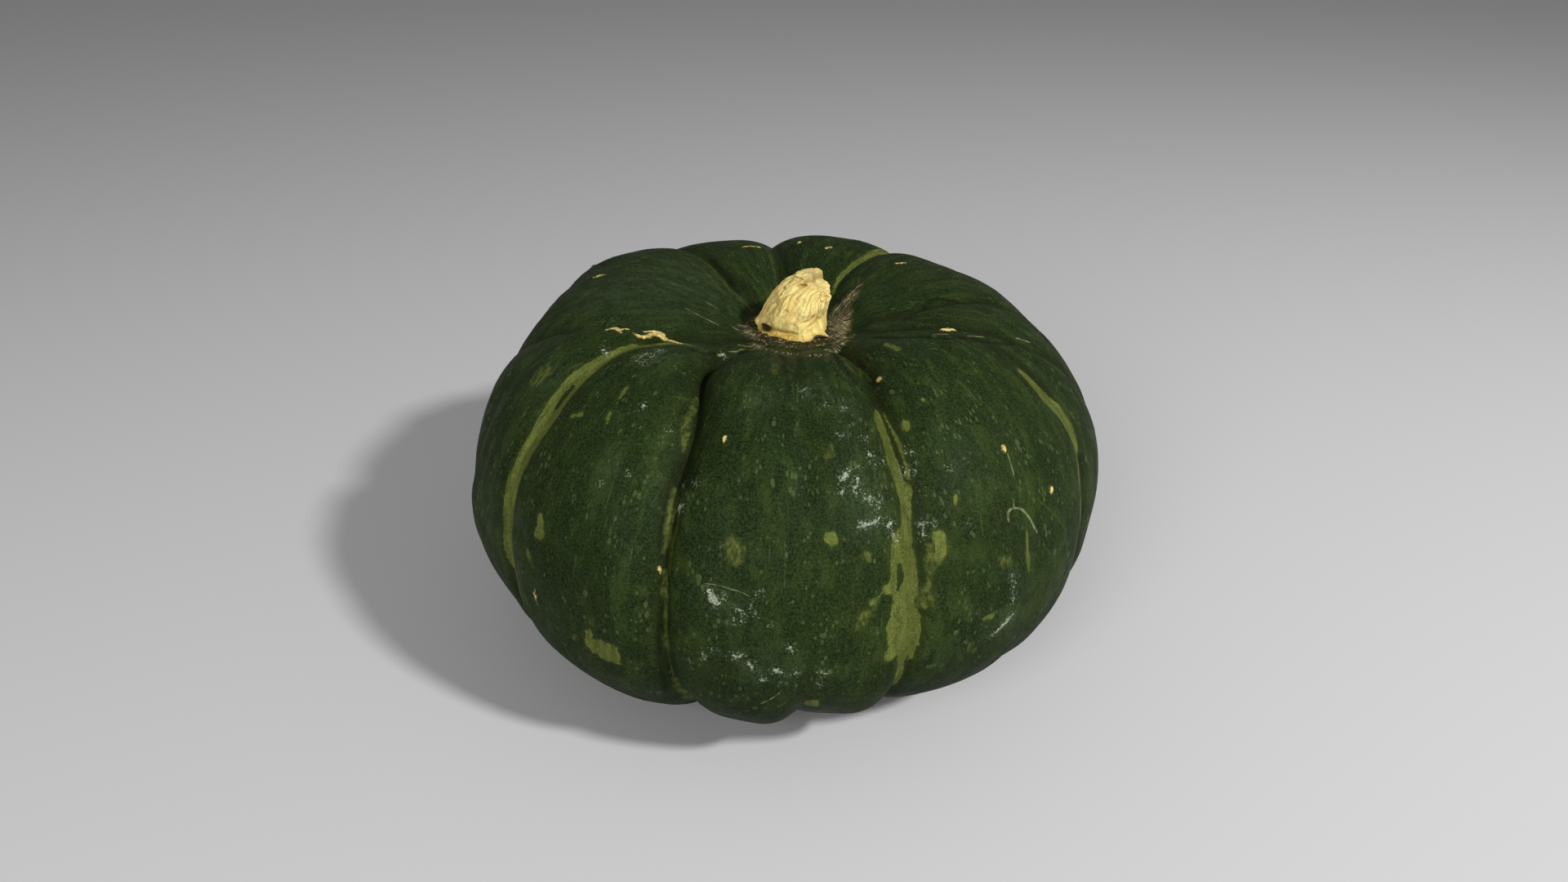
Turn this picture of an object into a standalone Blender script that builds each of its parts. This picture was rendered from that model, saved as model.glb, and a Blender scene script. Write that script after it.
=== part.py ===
"""Green winter squash with a cut corky stem.

Two solids: the ribbed fruit, one closed body whose underside lobes have small
flats where it rests, and the dry stem stub that sits in the hollow on top.
Metres, +Z up. The origin is on the resting plane, under the middle of the
squash; +X is to the right and -Y is the side that faces the viewer.
"""
import bpy
import bmesh
import math
import numpy as np

# ---- driving dimensions ---------------------------------------------------
BELLY_RADIUS = 0.092        # mean radius at the widest level
UPPER_HEIGHT = 0.0674       # belly level to where the top dome would end
LOWER_HEIGHT = 0.0493       # belly level to the underside
UPPER_ROUND = 2.13          # superellipse power of the upper half (2 = ellipse)
LOWER_ROUND = 2.42          # superellipse power of the lower half
CROWN_DEPTH = 0.0263        # depth of the hollow round the stem
CROWN_SPREAD = 0.0416       # how wide that hollow spreads
CROWN_OFFSET = 0.0032       # the hollow's middle lies this far towards +X
SEAT_RADIUS = 0.0145        # flat seat that the stem stands on
BLOSSOM_DEPTH = 0.0075      # dimple in the underside
BLOSSOM_SPREAD = 0.0300
FLOOR_BELOW_BELLY = 0.0444  # belly level above the resting plane
FRUIT_CENTRE = (-0.00143, 0.00062)   # fruit's axis from the middle of the squash

PLAN_OVAL = (-0.026, -0.014)        # cos 2a and sin 2a of the plan's outline
PLAN_TRIANGLE = (0.030, 0.001)      # cos 3a and sin 3a of the plan's outline

STEM_GAP = 0.0004           # clearance between the seat and the stem
STEM_HEIGHT = 0.0158
STEM_BASE_RADIUS = 0.0096
STEM_TOP_RADIUS = 0.0079
STEM_LEAN = (0.0042, 0.0012)        # how far the top stands off the base
STEM_RIDGES = 5

BODY_COLUMNS = 88           # eight to each lobe
BODY_ROWS = 42
STEM_COLUMNS = 30
STEM_ROWS = 12

# ---- creases --------------------------------------------------------------
# One line for each crease: azimuth in degrees near the stem, on the shoulder,
# above the belly, on the belly and below it; then how far the lobes fall away
# to it (shoulder, belly, below) and how deep its narrow valley is (the same
# three places), both as parts of the belly radius.
CREASES = (
    (355.0, 364.0, 367.0, 369.0, 369.0, 0.012, 0.010, 0.012, 0.026, 0.014, 0.014),
    (418.0, 415.0, 416.0, 417.0, 417.0, 0.017, 0.017, 0.023, 0.020, 0.012, 0.014),
    (452.0, 454.0, 455.0, 456.0, 456.0, 0.038, 0.030, 0.032, 0.024, 0.016, 0.016),
    (484.0, 484.0, 486.0, 487.0, 487.0, 0.017, 0.021, 0.027, 0.024, 0.012, 0.014),
    (577.0, 557.0, 537.0, 532.0, 532.0, 0.013, 0.006, 0.008, 0.030, 0.016, 0.014),
    (584.0, 580.0, 580.0, 581.0, 581.0, 0.009, 0.013, 0.015, 0.008, 0.012, 0.014),
    (597.0, 609.5, 611.8, 613.3, 615.0, 0.034, 0.028, 0.032, 0.060, 0.018, 0.024),
    (632.0, 634.0, 633.7, 633.5, 632.5, 0.011, 0.005, 0.023, 0.014, 0.003, 0.014),
    (658.0, 652.5, 651.0, 649.2, 647.5, 0.019, 0.013, 0.027, 0.048, 0.014, 0.028),
    (682.0, 690.0, 693.0, 690.5, 691.0, 0.006, 0.020, 0.022, 0.004, 0.012, 0.012),
    (692.0, 700.0, 711.0, 714.0, 714.0, 0.007, 0.009, 0.011, 0.024, 0.014, 0.010),
)
# How far each lobe stands out (+) or in (-) between its crease and the next.
LOBE_SWELL = (-0.017, -0.005, -0.032, -0.001, 0.018, -0.009, -0.014, -0.006, 0.010, -0.016, -0.023)
# Shallow folds inside wide lobes: azimuth, depth, width.
FOLDS = ((311.0, 0.006, 0.05), (200.0, 0.014, 0.045), (30.0, 0.012, 0.05), (155.0, 0.012, 0.05))
# Local swellings (+) and dents (-): azimuth, latitude, height, width round the
# fruit and width up the side, in degrees.
SWELLINGS = (
    (268.0, -32.0, 0.012, 4.0, 14.0), (277.0, -32.0, -0.014, 5.0, 14.0), (285.5, -30.0, 0.012, 5.0, 14.0),
    (203.0, 5.0, 0.015, 4.5, 12.0), (213.0, -17.0, -0.015, 6.0, 10.0), (146.0, 44.0, 0.011, 8.0, 12.0),
    (165.0, 33.0, -0.011, 7.0, 10.0), (339.0, -6.0, -0.010, 6.0, 12.0), (13.0, 38.0, -0.011, 5.0, 10.0),
    (38.0, 48.0, -0.007, 6.0, 10.0),
)
LOBES = len(CREASES)

AZIMUTH_STATIONS = (-90.0, -30.0, 0.0, 28.0, 52.0, 72.0, 90.0)
DEPTH_STATIONS = (-90.0, -35.0, 0.0, 50.0, 72.0, 90.0)


def flowing(x, xs, ys):
    """Smooth curve through the stations (xs, ys)."""
    xs = np.asarray(xs, float)
    ys = np.asarray(ys, float)
    m = np.gradient(ys, xs)
    i = np.clip(np.searchsorted(xs, x) - 1, 0, len(xs) - 2)
    h = xs[i + 1] - xs[i]
    t = np.clip((x - xs[i]) / h, 0.0, 1.0)
    return ((1 + 2 * t) * (1 - t) ** 2 * ys[i] + t * (1 - t) ** 2 * h * m[i]
            + t * t * (3 - 2 * t) * ys[i + 1] + t * t * (t - 1) * h * m[i + 1])


def step(a, b, x):
    t = np.clip((x - a) / (b - a), 0.0, 1.0)
    return t * t * (3 - 2 * t)


def profile(lat):
    """Distance from the axis and height, in belly radii, at a latitude."""
    c = np.abs(np.cos(lat))
    s = np.sin(lat)
    up = s >= 0
    n = np.where(up, UPPER_ROUND, LOWER_ROUND)
    tall = np.where(up, UPPER_HEIGHT, LOWER_HEIGHT) / BELLY_RADIUS
    k = (c ** n + np.abs(s) ** n) ** (-1 / n)
    rho = c * k
    z = s * k * tall
    crown = CROWN_DEPTH / BELLY_RADIUS * np.exp(-(rho * BELLY_RADIUS / CROWN_SPREAD) ** 2)
    dimple = BLOSSOM_DEPTH / BELLY_RADIUS * np.exp(-(rho * BELLY_RADIUS / BLOSSOM_SPREAD) ** 2)
    z = z + np.where(up, -crown, dimple)
    seat = (UPPER_HEIGHT - CROWN_DEPTH) / BELLY_RADIUS
    edge = SEAT_RADIUS / BELLY_RADIUS
    z = np.where(up, seat + (z - seat) * step(edge, edge + 0.09, rho), z)
    return rho, z


def latitudes(rows):
    """Latitudes from pole to pole, evenly spaced along the profile."""
    fine = np.linspace(-math.pi / 2, math.pi / 2, 1801)
    r, z = profile(fine)
    length = np.concatenate([[0.0], np.cumsum(np.hypot(np.diff(r), np.diff(z)))])
    return np.interp(np.linspace(0.0, length[-1], rows + 1), length, fine)


def skin(lobe, lat):
    """Points of the skin. lobe counts from 0 to LOBES, whole on each crease."""
    lobe, lat = np.broadcast_arrays(np.asarray(lobe, float), np.asarray(lat, float))
    deg = np.degrees(lat)
    i = np.floor(lobe).astype(int) % LOBES
    s = lobe - np.floor(lobe)
    az = np.array([flowing(deg, AZIMUTH_STATIONS, (c[4], c[4], c[3], c[2], c[1], c[0], c[0])) for c in CREASES])
    az = np.concatenate([az, az[:1] + 360.0])
    fall = np.array([flowing(deg, DEPTH_STATIONS, (c[7] * 0.5, c[7], c[6], c[5], c[5] * 0.7, 0.0)) for c in CREASES])
    fall = np.concatenate([fall, fall[:1]])
    deep = np.array([flowing(deg, DEPTH_STATIONS, (c[10] * 0.4, c[10], c[9], c[8], c[8], 0.0)) for c in CREASES])
    deep = np.concatenate([deep, deep[:1]])

    def pick(table, k):
        return np.take_along_axis(table, k[None], 0)[0]

    a0, a1 = pick(az, i), pick(az, i + 1)
    th = a0 + (a1 - a0) * s
    ang = np.radians(th)
    rho, z = profile(lat)
    h = 1e-3
    r1, z1 = profile(lat + h)
    r0, z0 = profile(lat - h)
    tr, tz = r1 - r0, z1 - z0
    ln = np.hypot(tr, tz)
    nr, nz = tz / ln, -tr / ln

    x = np.abs(2 * s - 1)
    d = -np.where(s < 0.5, pick(fall, i), pick(fall, i + 1)) * x ** 2.2
    swell = np.take(np.array(LOBE_SWELL), i)
    d = d + swell * step(-75, -25, deg) * (1 - step(45, 78, deg)) * (1 - x ** 2)
    wide = flowing(deg, DEPTH_STATIONS, (0.03, 0.032, 0.026, 0.045, 0.05, 0.05))
    soft = 0.006
    for a, dep in ((a0, pick(deep, i)), (a1, pick(deep, i + 1))):
        off = np.radians(np.abs(th - a)) * rho
        d = d - dep * np.exp(-(np.sqrt(off * off + soft * soft) - soft) / wide)
    for a, dep, w in FOLDS:
        off = np.radians((th - a + 180) % 360 - 180) * rho
        d = d - dep * (1 - step(35, 60, deg)) * np.exp(-(off / w) ** 2)
    for a, b, high, wa, wb in SWELLINGS:
        off = ((th - a + 180) % 360 - 180) / wa
        d = d + high * np.exp(-off ** 2 - ((deg - b) / wb) ** 2)
    d = d * step(0.15, 0.30, rho)
    cx, sy = np.cos(ang) * rho, np.sin(ang) * rho
    d = d + 0.0035 * np.sin(5.1 * cx + 1.3) * np.sin(4.3 * sy + 0.7 + 3 * z) * step(0.18, 0.40, rho)

    rho = rho + d * nr
    z = z + d * nz
    plan = (1 + PLAN_OVAL[0] * np.cos(2 * ang) + PLAN_OVAL[1] * np.sin(2 * ang)
            + PLAN_TRIANGLE[0] * np.cos(3 * ang) + PLAN_TRIANGLE[1] * np.sin(3 * ang))
    px = rho * plan * np.cos(ang) * BELLY_RADIUS
    py = rho * plan * np.sin(ang) * BELLY_RADIUS
    px = px + CROWN_OFFSET * step(0.1, 0.4, z) * np.exp(-(rho / 0.5) ** 2)
    pz = np.maximum(z * BELLY_RADIUS + FLOOR_BELOW_BELLY, 0.0)
    return px + FRUIT_CENTRE[0], py + FRUIT_CENTRE[1], pz


def seat_height():
    return FLOOR_BELOW_BELLY + UPPER_HEIGHT - CROWN_DEPTH


def stem_point(a, t):
    """Stem surface at angle a (radians) and height share t."""
    top = 1.0 - 0.42 * step(0.62, 1.0, t) ** 1.6
    r = (STEM_BASE_RADIUS + (STEM_TOP_RADIUS - STEM_BASE_RADIUS) * t) * top
    turn = a - 0.35 * t
    ridge = np.abs(np.sin(0.5 * STEM_RIDGES * turn + 0.4)) ** 0.7
    r = r * (0.90 + 0.12 * ridge)
    foot = np.exp(-(t / 0.16) ** 2)
    r = r + foot * (0.0006 + 0.0009 * np.cos(a - math.radians(205)) ** 2 + 0.0012 * np.exp(-((a - math.radians(308)) / 0.35) ** 2))
    cx = FRUIT_CENTRE[0] + CROWN_OFFSET + STEM_LEAN[0] * t ** 1.3
    cy = FRUIT_CENTRE[1] + STEM_LEAN[1] * t ** 1.3
    z = seat_height() + STEM_GAP + STEM_HEIGHT * t
    tilt = -0.10 * step(0.6, 1.0, t)
    x = r * np.cos(a)
    return cx + x, cy + r * np.sin(a), z + x * tilt


def finish(bm, name, colour, roughness):
    bmesh.ops.recalc_face_normals(bm, faces=bm.faces[:])
    mesh = bpy.data.meshes.new(name)
    bm.to_mesh(mesh)
    bm.free()
    mesh.shade_smooth()
    obj = bpy.data.objects.new(name, mesh)
    bpy.context.scene.collection.objects.link(obj)
    mat = bpy.data.materials.new(name)
    mat.use_nodes = True
    shader = mat.node_tree.nodes["Principled BSDF"]
    shader.inputs["Base Color"].default_value = (*colour, 1.0)
    shader.inputs["Roughness"].default_value = roughness
    shader.inputs["Metallic"].default_value = 0.0
    mat.diffuse_color = (*colour, 1.0)
    obj.data.materials.append(mat)
    return obj


def make_body():
    """A UV sphere whose columns are moved onto the lobes and creases."""
    bm = bmesh.new()
    bmesh.ops.create_uvsphere(bm, u_segments=BODY_COLUMNS, v_segments=BODY_ROWS, radius=1.0)
    bm.verts.ensure_lookup_table()
    co = np.array([v.co[:] for v in bm.verts])
    column = np.round(np.degrees(np.arctan2(co[:, 1], co[:, 0])) / 360.0 * BODY_COLUMNS) % BODY_COLUMNS
    row = np.round((np.degrees(np.arcsin(np.clip(co[:, 2], -1, 1))) + 90.0) / 180.0 * BODY_ROWS).astype(int)
    lobe = column * LOBES / BODY_COLUMNS
    part = lobe - np.floor(lobe)
    lobe = np.floor(lobe) + part - 0.35 * np.sin(2 * math.pi * part) / (2 * math.pi)
    px, py, pz = skin(lobe, latitudes(BODY_ROWS)[row])
    for v, x, y, z in zip(bm.verts, px, py, pz):
        v.co = (x, y, z)
    return finish(bm, "squash_body", (0.020, 0.038, 0.011), 0.55)


def make_stem():
    """A circle extruded up ring by ring, its rings shaped and both ends capped."""
    bm = bmesh.new()
    start = bmesh.ops.create_circle(bm, cap_ends=False, segments=STEM_COLUMNS, radius=1.0)
    ring = start["verts"]
    angle = {v: math.atan2(v.co.y, v.co.x) % (2 * math.pi) for v in ring}
    edges = list({e for v in ring for e in v.link_edges})
    rows = [(k / STEM_ROWS) for k in range(STEM_ROWS + 1)]

    def place(verts, t):
        for v in verts:
            v.co = stem_point(angle[v], t)

    bmesh.ops.contextual_create(bm, geom=edges)
    place(ring, rows[0])
    for t in rows[1:]:
        grown = bmesh.ops.extrude_edge_only(bm, edges=edges)["geom"]
        new = [g for g in grown if isinstance(g, bmesh.types.BMVert)]
        old = {tuple(round(c, 7) for c in v.co): v for e in edges for v in e.verts}
        for v in new:
            angle[v] = angle[old[tuple(round(c, 7) for c in v.co)]]
        edges = [g for g in grown if isinstance(g, bmesh.types.BMEdge)
                 and g.verts[0] in new and g.verts[1] in new]
        place(new, t)
    bmesh.ops.contextual_create(bm, geom=edges)
    caps = [f for f in bm.faces if len(f.verts) > 4]
    made = bmesh.ops.poke(bm, faces=caps)
    for v in made["verts"]:
        if v.co.z > seat_height() + STEM_HEIGHT * 0.5:
            v.co.z += 0.0007
    return finish(bm, "stem", (0.52, 0.41, 0.24), 0.80)


def main():
    for obj in list(bpy.data.objects):
        bpy.data.objects.remove(obj, do_unlink=True)
    make_body()
    make_stem()


main()
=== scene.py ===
import math
import random

import bpy
import numpy as np
from mathutils import Matrix, Vector


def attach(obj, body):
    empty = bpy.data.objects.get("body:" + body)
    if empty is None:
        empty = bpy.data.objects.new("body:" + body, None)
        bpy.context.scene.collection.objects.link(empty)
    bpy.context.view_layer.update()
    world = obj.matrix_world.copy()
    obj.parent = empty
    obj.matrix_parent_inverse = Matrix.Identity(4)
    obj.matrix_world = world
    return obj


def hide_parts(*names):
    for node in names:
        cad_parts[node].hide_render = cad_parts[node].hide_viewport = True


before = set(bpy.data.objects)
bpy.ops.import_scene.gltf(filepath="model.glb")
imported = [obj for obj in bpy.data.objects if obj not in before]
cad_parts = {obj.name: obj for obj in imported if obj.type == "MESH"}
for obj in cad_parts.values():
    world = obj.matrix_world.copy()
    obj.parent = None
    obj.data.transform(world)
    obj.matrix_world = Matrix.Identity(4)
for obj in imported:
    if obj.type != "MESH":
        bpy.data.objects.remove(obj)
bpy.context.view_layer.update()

# ---- driving dimensions ---------------------------------------------------
BELLY_RADIUS = 0.092        # mean radius at the widest level
UPPER_HEIGHT = 0.0674       # belly level to where the top dome would end
LOWER_HEIGHT = 0.0493       # belly level to the underside
UPPER_ROUND = 2.13          # superellipse power of the upper half (2 = ellipse)
LOWER_ROUND = 2.42          # superellipse power of the lower half
CROWN_DEPTH = 0.0263        # depth of the hollow round the stem
CROWN_SPREAD = 0.0416       # how wide that hollow spreads
CROWN_OFFSET = 0.0032       # the hollow's middle lies this far towards +X
SEAT_RADIUS = 0.0145        # flat seat that the stem stands on
BLOSSOM_DEPTH = 0.0075      # dimple in the underside
BLOSSOM_SPREAD = 0.0300
FLOOR_BELOW_BELLY = 0.0444  # belly level above the resting plane
FRUIT_CENTRE = (-0.00143, 0.00062)   # fruit's axis from the middle of the squash

PLAN_OVAL = (-0.026, -0.014)        # cos 2a and sin 2a of the plan's outline
PLAN_TRIANGLE = (0.030, 0.001)      # cos 3a and sin 3a of the plan's outline

STEM_GAP = 0.0004           # clearance between the seat and the stem
STEM_HEIGHT = 0.0158
STEM_BASE_RADIUS = 0.0096
STEM_TOP_RADIUS = 0.0079
STEM_LEAN = (0.0042, 0.0012)        # how far the top stands off the base
STEM_RIDGES = 5


# ---- creases --------------------------------------------------------------
# One line for each crease: azimuth in degrees near the stem, on the shoulder,
# above the belly, on the belly and below it; then how far the lobes fall away
# to it (shoulder, belly, below) and how deep its narrow valley is (the same
# three places), both as parts of the belly radius.
CREASES = (
    (355.0, 364.0, 367.0, 369.0, 369.0, 0.012, 0.010, 0.012, 0.026, 0.014, 0.014),
    (418.0, 415.0, 416.0, 417.0, 417.0, 0.017, 0.017, 0.023, 0.020, 0.012, 0.014),
    (452.0, 454.0, 455.0, 456.0, 456.0, 0.038, 0.030, 0.032, 0.024, 0.016, 0.016),
    (484.0, 484.0, 486.0, 487.0, 487.0, 0.017, 0.021, 0.027, 0.024, 0.012, 0.014),
    (577.0, 557.0, 537.0, 532.0, 532.0, 0.013, 0.006, 0.008, 0.030, 0.016, 0.014),
    (584.0, 580.0, 580.0, 581.0, 581.0, 0.009, 0.013, 0.015, 0.008, 0.012, 0.014),
    (597.0, 609.5, 611.8, 613.3, 615.0, 0.034, 0.028, 0.032, 0.060, 0.018, 0.024),
    (632.0, 634.0, 633.7, 633.5, 632.5, 0.011, 0.005, 0.023, 0.014, 0.003, 0.014),
    (658.0, 652.5, 651.0, 649.2, 647.5, 0.019, 0.013, 0.027, 0.048, 0.014, 0.028),
    (682.0, 690.0, 693.0, 690.5, 691.0, 0.006, 0.020, 0.022, 0.004, 0.012, 0.012),
    (692.0, 700.0, 711.0, 714.0, 714.0, 0.007, 0.009, 0.011, 0.024, 0.014, 0.010),
)
# How far each lobe stands out (+) or in (-) between its crease and the next.
LOBE_SWELL = (-0.017, -0.005, -0.032, -0.001, 0.018, -0.009, -0.014, -0.006, 0.010, -0.016, -0.023)
# Shallow folds inside wide lobes: azimuth, depth, width.
FOLDS = ((311.0, 0.006, 0.05), (200.0, 0.014, 0.045), (30.0, 0.012, 0.05), (155.0, 0.012, 0.05))
# Local swellings (+) and dents (-): azimuth, latitude, height, width round the
# fruit and width up the side, in degrees.
SWELLINGS = (
    (268.0, -32.0, 0.012, 4.0, 14.0), (277.0, -32.0, -0.014, 5.0, 14.0), (285.5, -30.0, 0.012, 5.0, 14.0),
    (203.0, 5.0, 0.015, 4.5, 12.0), (213.0, -17.0, -0.015, 6.0, 10.0), (146.0, 44.0, 0.011, 8.0, 12.0),
    (165.0, 33.0, -0.011, 7.0, 10.0), (339.0, -6.0, -0.010, 6.0, 12.0), (13.0, 38.0, -0.011, 5.0, 10.0),
    (38.0, 48.0, -0.007, 6.0, 10.0),
)
LOBES = len(CREASES)

AZIMUTH_STATIONS = (-90.0, -30.0, 0.0, 28.0, 52.0, 72.0, 90.0)
DEPTH_STATIONS = (-90.0, -35.0, 0.0, 50.0, 72.0, 90.0)


def flowing(x, xs, ys):
    """Smooth curve through the stations (xs, ys)."""
    xs = np.asarray(xs, float)
    ys = np.asarray(ys, float)
    m = np.gradient(ys, xs)
    i = np.clip(np.searchsorted(xs, x) - 1, 0, len(xs) - 2)
    h = xs[i + 1] - xs[i]
    t = np.clip((x - xs[i]) / h, 0.0, 1.0)
    return ((1 + 2 * t) * (1 - t) ** 2 * ys[i] + t * (1 - t) ** 2 * h * m[i]
            + t * t * (3 - 2 * t) * ys[i + 1] + t * t * (t - 1) * h * m[i + 1])


def step(a, b, x):
    t = np.clip((x - a) / (b - a), 0.0, 1.0)
    return t * t * (3 - 2 * t)


def profile(lat):
    """Distance from the axis and height, in belly radii, at a latitude."""
    c = np.abs(np.cos(lat))
    s = np.sin(lat)
    up = s >= 0
    n = np.where(up, UPPER_ROUND, LOWER_ROUND)
    tall = np.where(up, UPPER_HEIGHT, LOWER_HEIGHT) / BELLY_RADIUS
    k = (c ** n + np.abs(s) ** n) ** (-1 / n)
    rho = c * k
    z = s * k * tall
    crown = CROWN_DEPTH / BELLY_RADIUS * np.exp(-(rho * BELLY_RADIUS / CROWN_SPREAD) ** 2)
    dimple = BLOSSOM_DEPTH / BELLY_RADIUS * np.exp(-(rho * BELLY_RADIUS / BLOSSOM_SPREAD) ** 2)
    z = z + np.where(up, -crown, dimple)
    seat = (UPPER_HEIGHT - CROWN_DEPTH) / BELLY_RADIUS
    edge = SEAT_RADIUS / BELLY_RADIUS
    z = np.where(up, seat + (z - seat) * step(edge, edge + 0.09, rho), z)
    return rho, z


def latitudes(rows):
    """Latitudes from pole to pole, evenly spaced along the profile."""
    fine = np.linspace(-math.pi / 2, math.pi / 2, 1801)
    r, z = profile(fine)
    length = np.concatenate([[0.0], np.cumsum(np.hypot(np.diff(r), np.diff(z)))])
    return np.interp(np.linspace(0.0, length[-1], rows + 1), length, fine)


def skin(lobe, lat):
    """Points of the skin. lobe counts from 0 to LOBES, whole on each crease."""
    lobe, lat = np.broadcast_arrays(np.asarray(lobe, float), np.asarray(lat, float))
    deg = np.degrees(lat)
    i = np.floor(lobe).astype(int) % LOBES
    s = lobe - np.floor(lobe)
    az = np.array([flowing(deg, AZIMUTH_STATIONS, (c[4], c[4], c[3], c[2], c[1], c[0], c[0])) for c in CREASES])
    az = np.concatenate([az, az[:1] + 360.0])
    fall = np.array([flowing(deg, DEPTH_STATIONS, (c[7] * 0.5, c[7], c[6], c[5], c[5] * 0.7, 0.0)) for c in CREASES])
    fall = np.concatenate([fall, fall[:1]])
    deep = np.array([flowing(deg, DEPTH_STATIONS, (c[10] * 0.4, c[10], c[9], c[8], c[8], 0.0)) for c in CREASES])
    deep = np.concatenate([deep, deep[:1]])

    def pick(table, k):
        return np.take_along_axis(table, k[None], 0)[0]

    a0, a1 = pick(az, i), pick(az, i + 1)
    th = a0 + (a1 - a0) * s
    ang = np.radians(th)
    rho, z = profile(lat)
    h = 1e-3
    r1, z1 = profile(lat + h)
    r0, z0 = profile(lat - h)
    tr, tz = r1 - r0, z1 - z0
    ln = np.hypot(tr, tz)
    nr, nz = tz / ln, -tr / ln

    x = np.abs(2 * s - 1)
    d = -np.where(s < 0.5, pick(fall, i), pick(fall, i + 1)) * x ** 2.2
    swell = np.take(np.array(LOBE_SWELL), i)
    d = d + swell * step(-75, -25, deg) * (1 - step(45, 78, deg)) * (1 - x ** 2)
    wide = flowing(deg, DEPTH_STATIONS, (0.03, 0.032, 0.026, 0.045, 0.05, 0.05))
    soft = 0.006
    for a, dep in ((a0, pick(deep, i)), (a1, pick(deep, i + 1))):
        off = np.radians(np.abs(th - a)) * rho
        d = d - dep * np.exp(-(np.sqrt(off * off + soft * soft) - soft) / wide)
    for a, dep, w in FOLDS:
        off = np.radians((th - a + 180) % 360 - 180) * rho
        d = d - dep * (1 - step(35, 60, deg)) * np.exp(-(off / w) ** 2)
    for a, b, high, wa, wb in SWELLINGS:
        off = ((th - a + 180) % 360 - 180) / wa
        d = d + high * np.exp(-off ** 2 - ((deg - b) / wb) ** 2)
    d = d * step(0.15, 0.30, rho)
    cx, sy = np.cos(ang) * rho, np.sin(ang) * rho
    d = d + 0.0035 * np.sin(5.1 * cx + 1.3) * np.sin(4.3 * sy + 0.7 + 3 * z) * step(0.18, 0.40, rho)

    rho = rho + d * nr
    z = z + d * nz
    plan = (1 + PLAN_OVAL[0] * np.cos(2 * ang) + PLAN_OVAL[1] * np.sin(2 * ang)
            + PLAN_TRIANGLE[0] * np.cos(3 * ang) + PLAN_TRIANGLE[1] * np.sin(3 * ang))
    px = rho * plan * np.cos(ang) * BELLY_RADIUS
    py = rho * plan * np.sin(ang) * BELLY_RADIUS
    px = px + CROWN_OFFSET * step(0.1, 0.4, z) * np.exp(-(rho / 0.5) ** 2)
    pz = np.maximum(z * BELLY_RADIUS + FLOOR_BELOW_BELLY, 0.0)
    return px + FRUIT_CENTRE[0], py + FRUIT_CENTRE[1], pz


def seat_height():
    return FLOOR_BELOW_BELLY + UPPER_HEIGHT - CROWN_DEPTH


def stem_point(a, t):
    """Stem surface at angle a (radians) and height share t."""
    top = 1.0 - 0.42 * step(0.62, 1.0, t) ** 1.6
    r = (STEM_BASE_RADIUS + (STEM_TOP_RADIUS - STEM_BASE_RADIUS) * t) * top
    turn = a - 0.35 * t
    ridge = np.abs(np.sin(0.5 * STEM_RIDGES * turn + 0.4)) ** 0.7
    r = r * (0.90 + 0.12 * ridge)
    foot = np.exp(-(t / 0.16) ** 2)
    r = r + foot * (0.0006 + 0.0009 * np.cos(a - math.radians(205)) ** 2 + 0.0012 * np.exp(-((a - math.radians(308)) / 0.35) ** 2))
    cx = FRUIT_CENTRE[0] + CROWN_OFFSET + STEM_LEAN[0] * t ** 1.3
    cy = FRUIT_CENTRE[1] + STEM_LEAN[1] * t ** 1.3
    z = seat_height() + STEM_GAP + STEM_HEIGHT * t
    tilt = -0.10 * step(0.6, 1.0, t)
    x = r * np.cos(a)
    return cx + x, cy + r * np.sin(a), z + x * tilt


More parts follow.
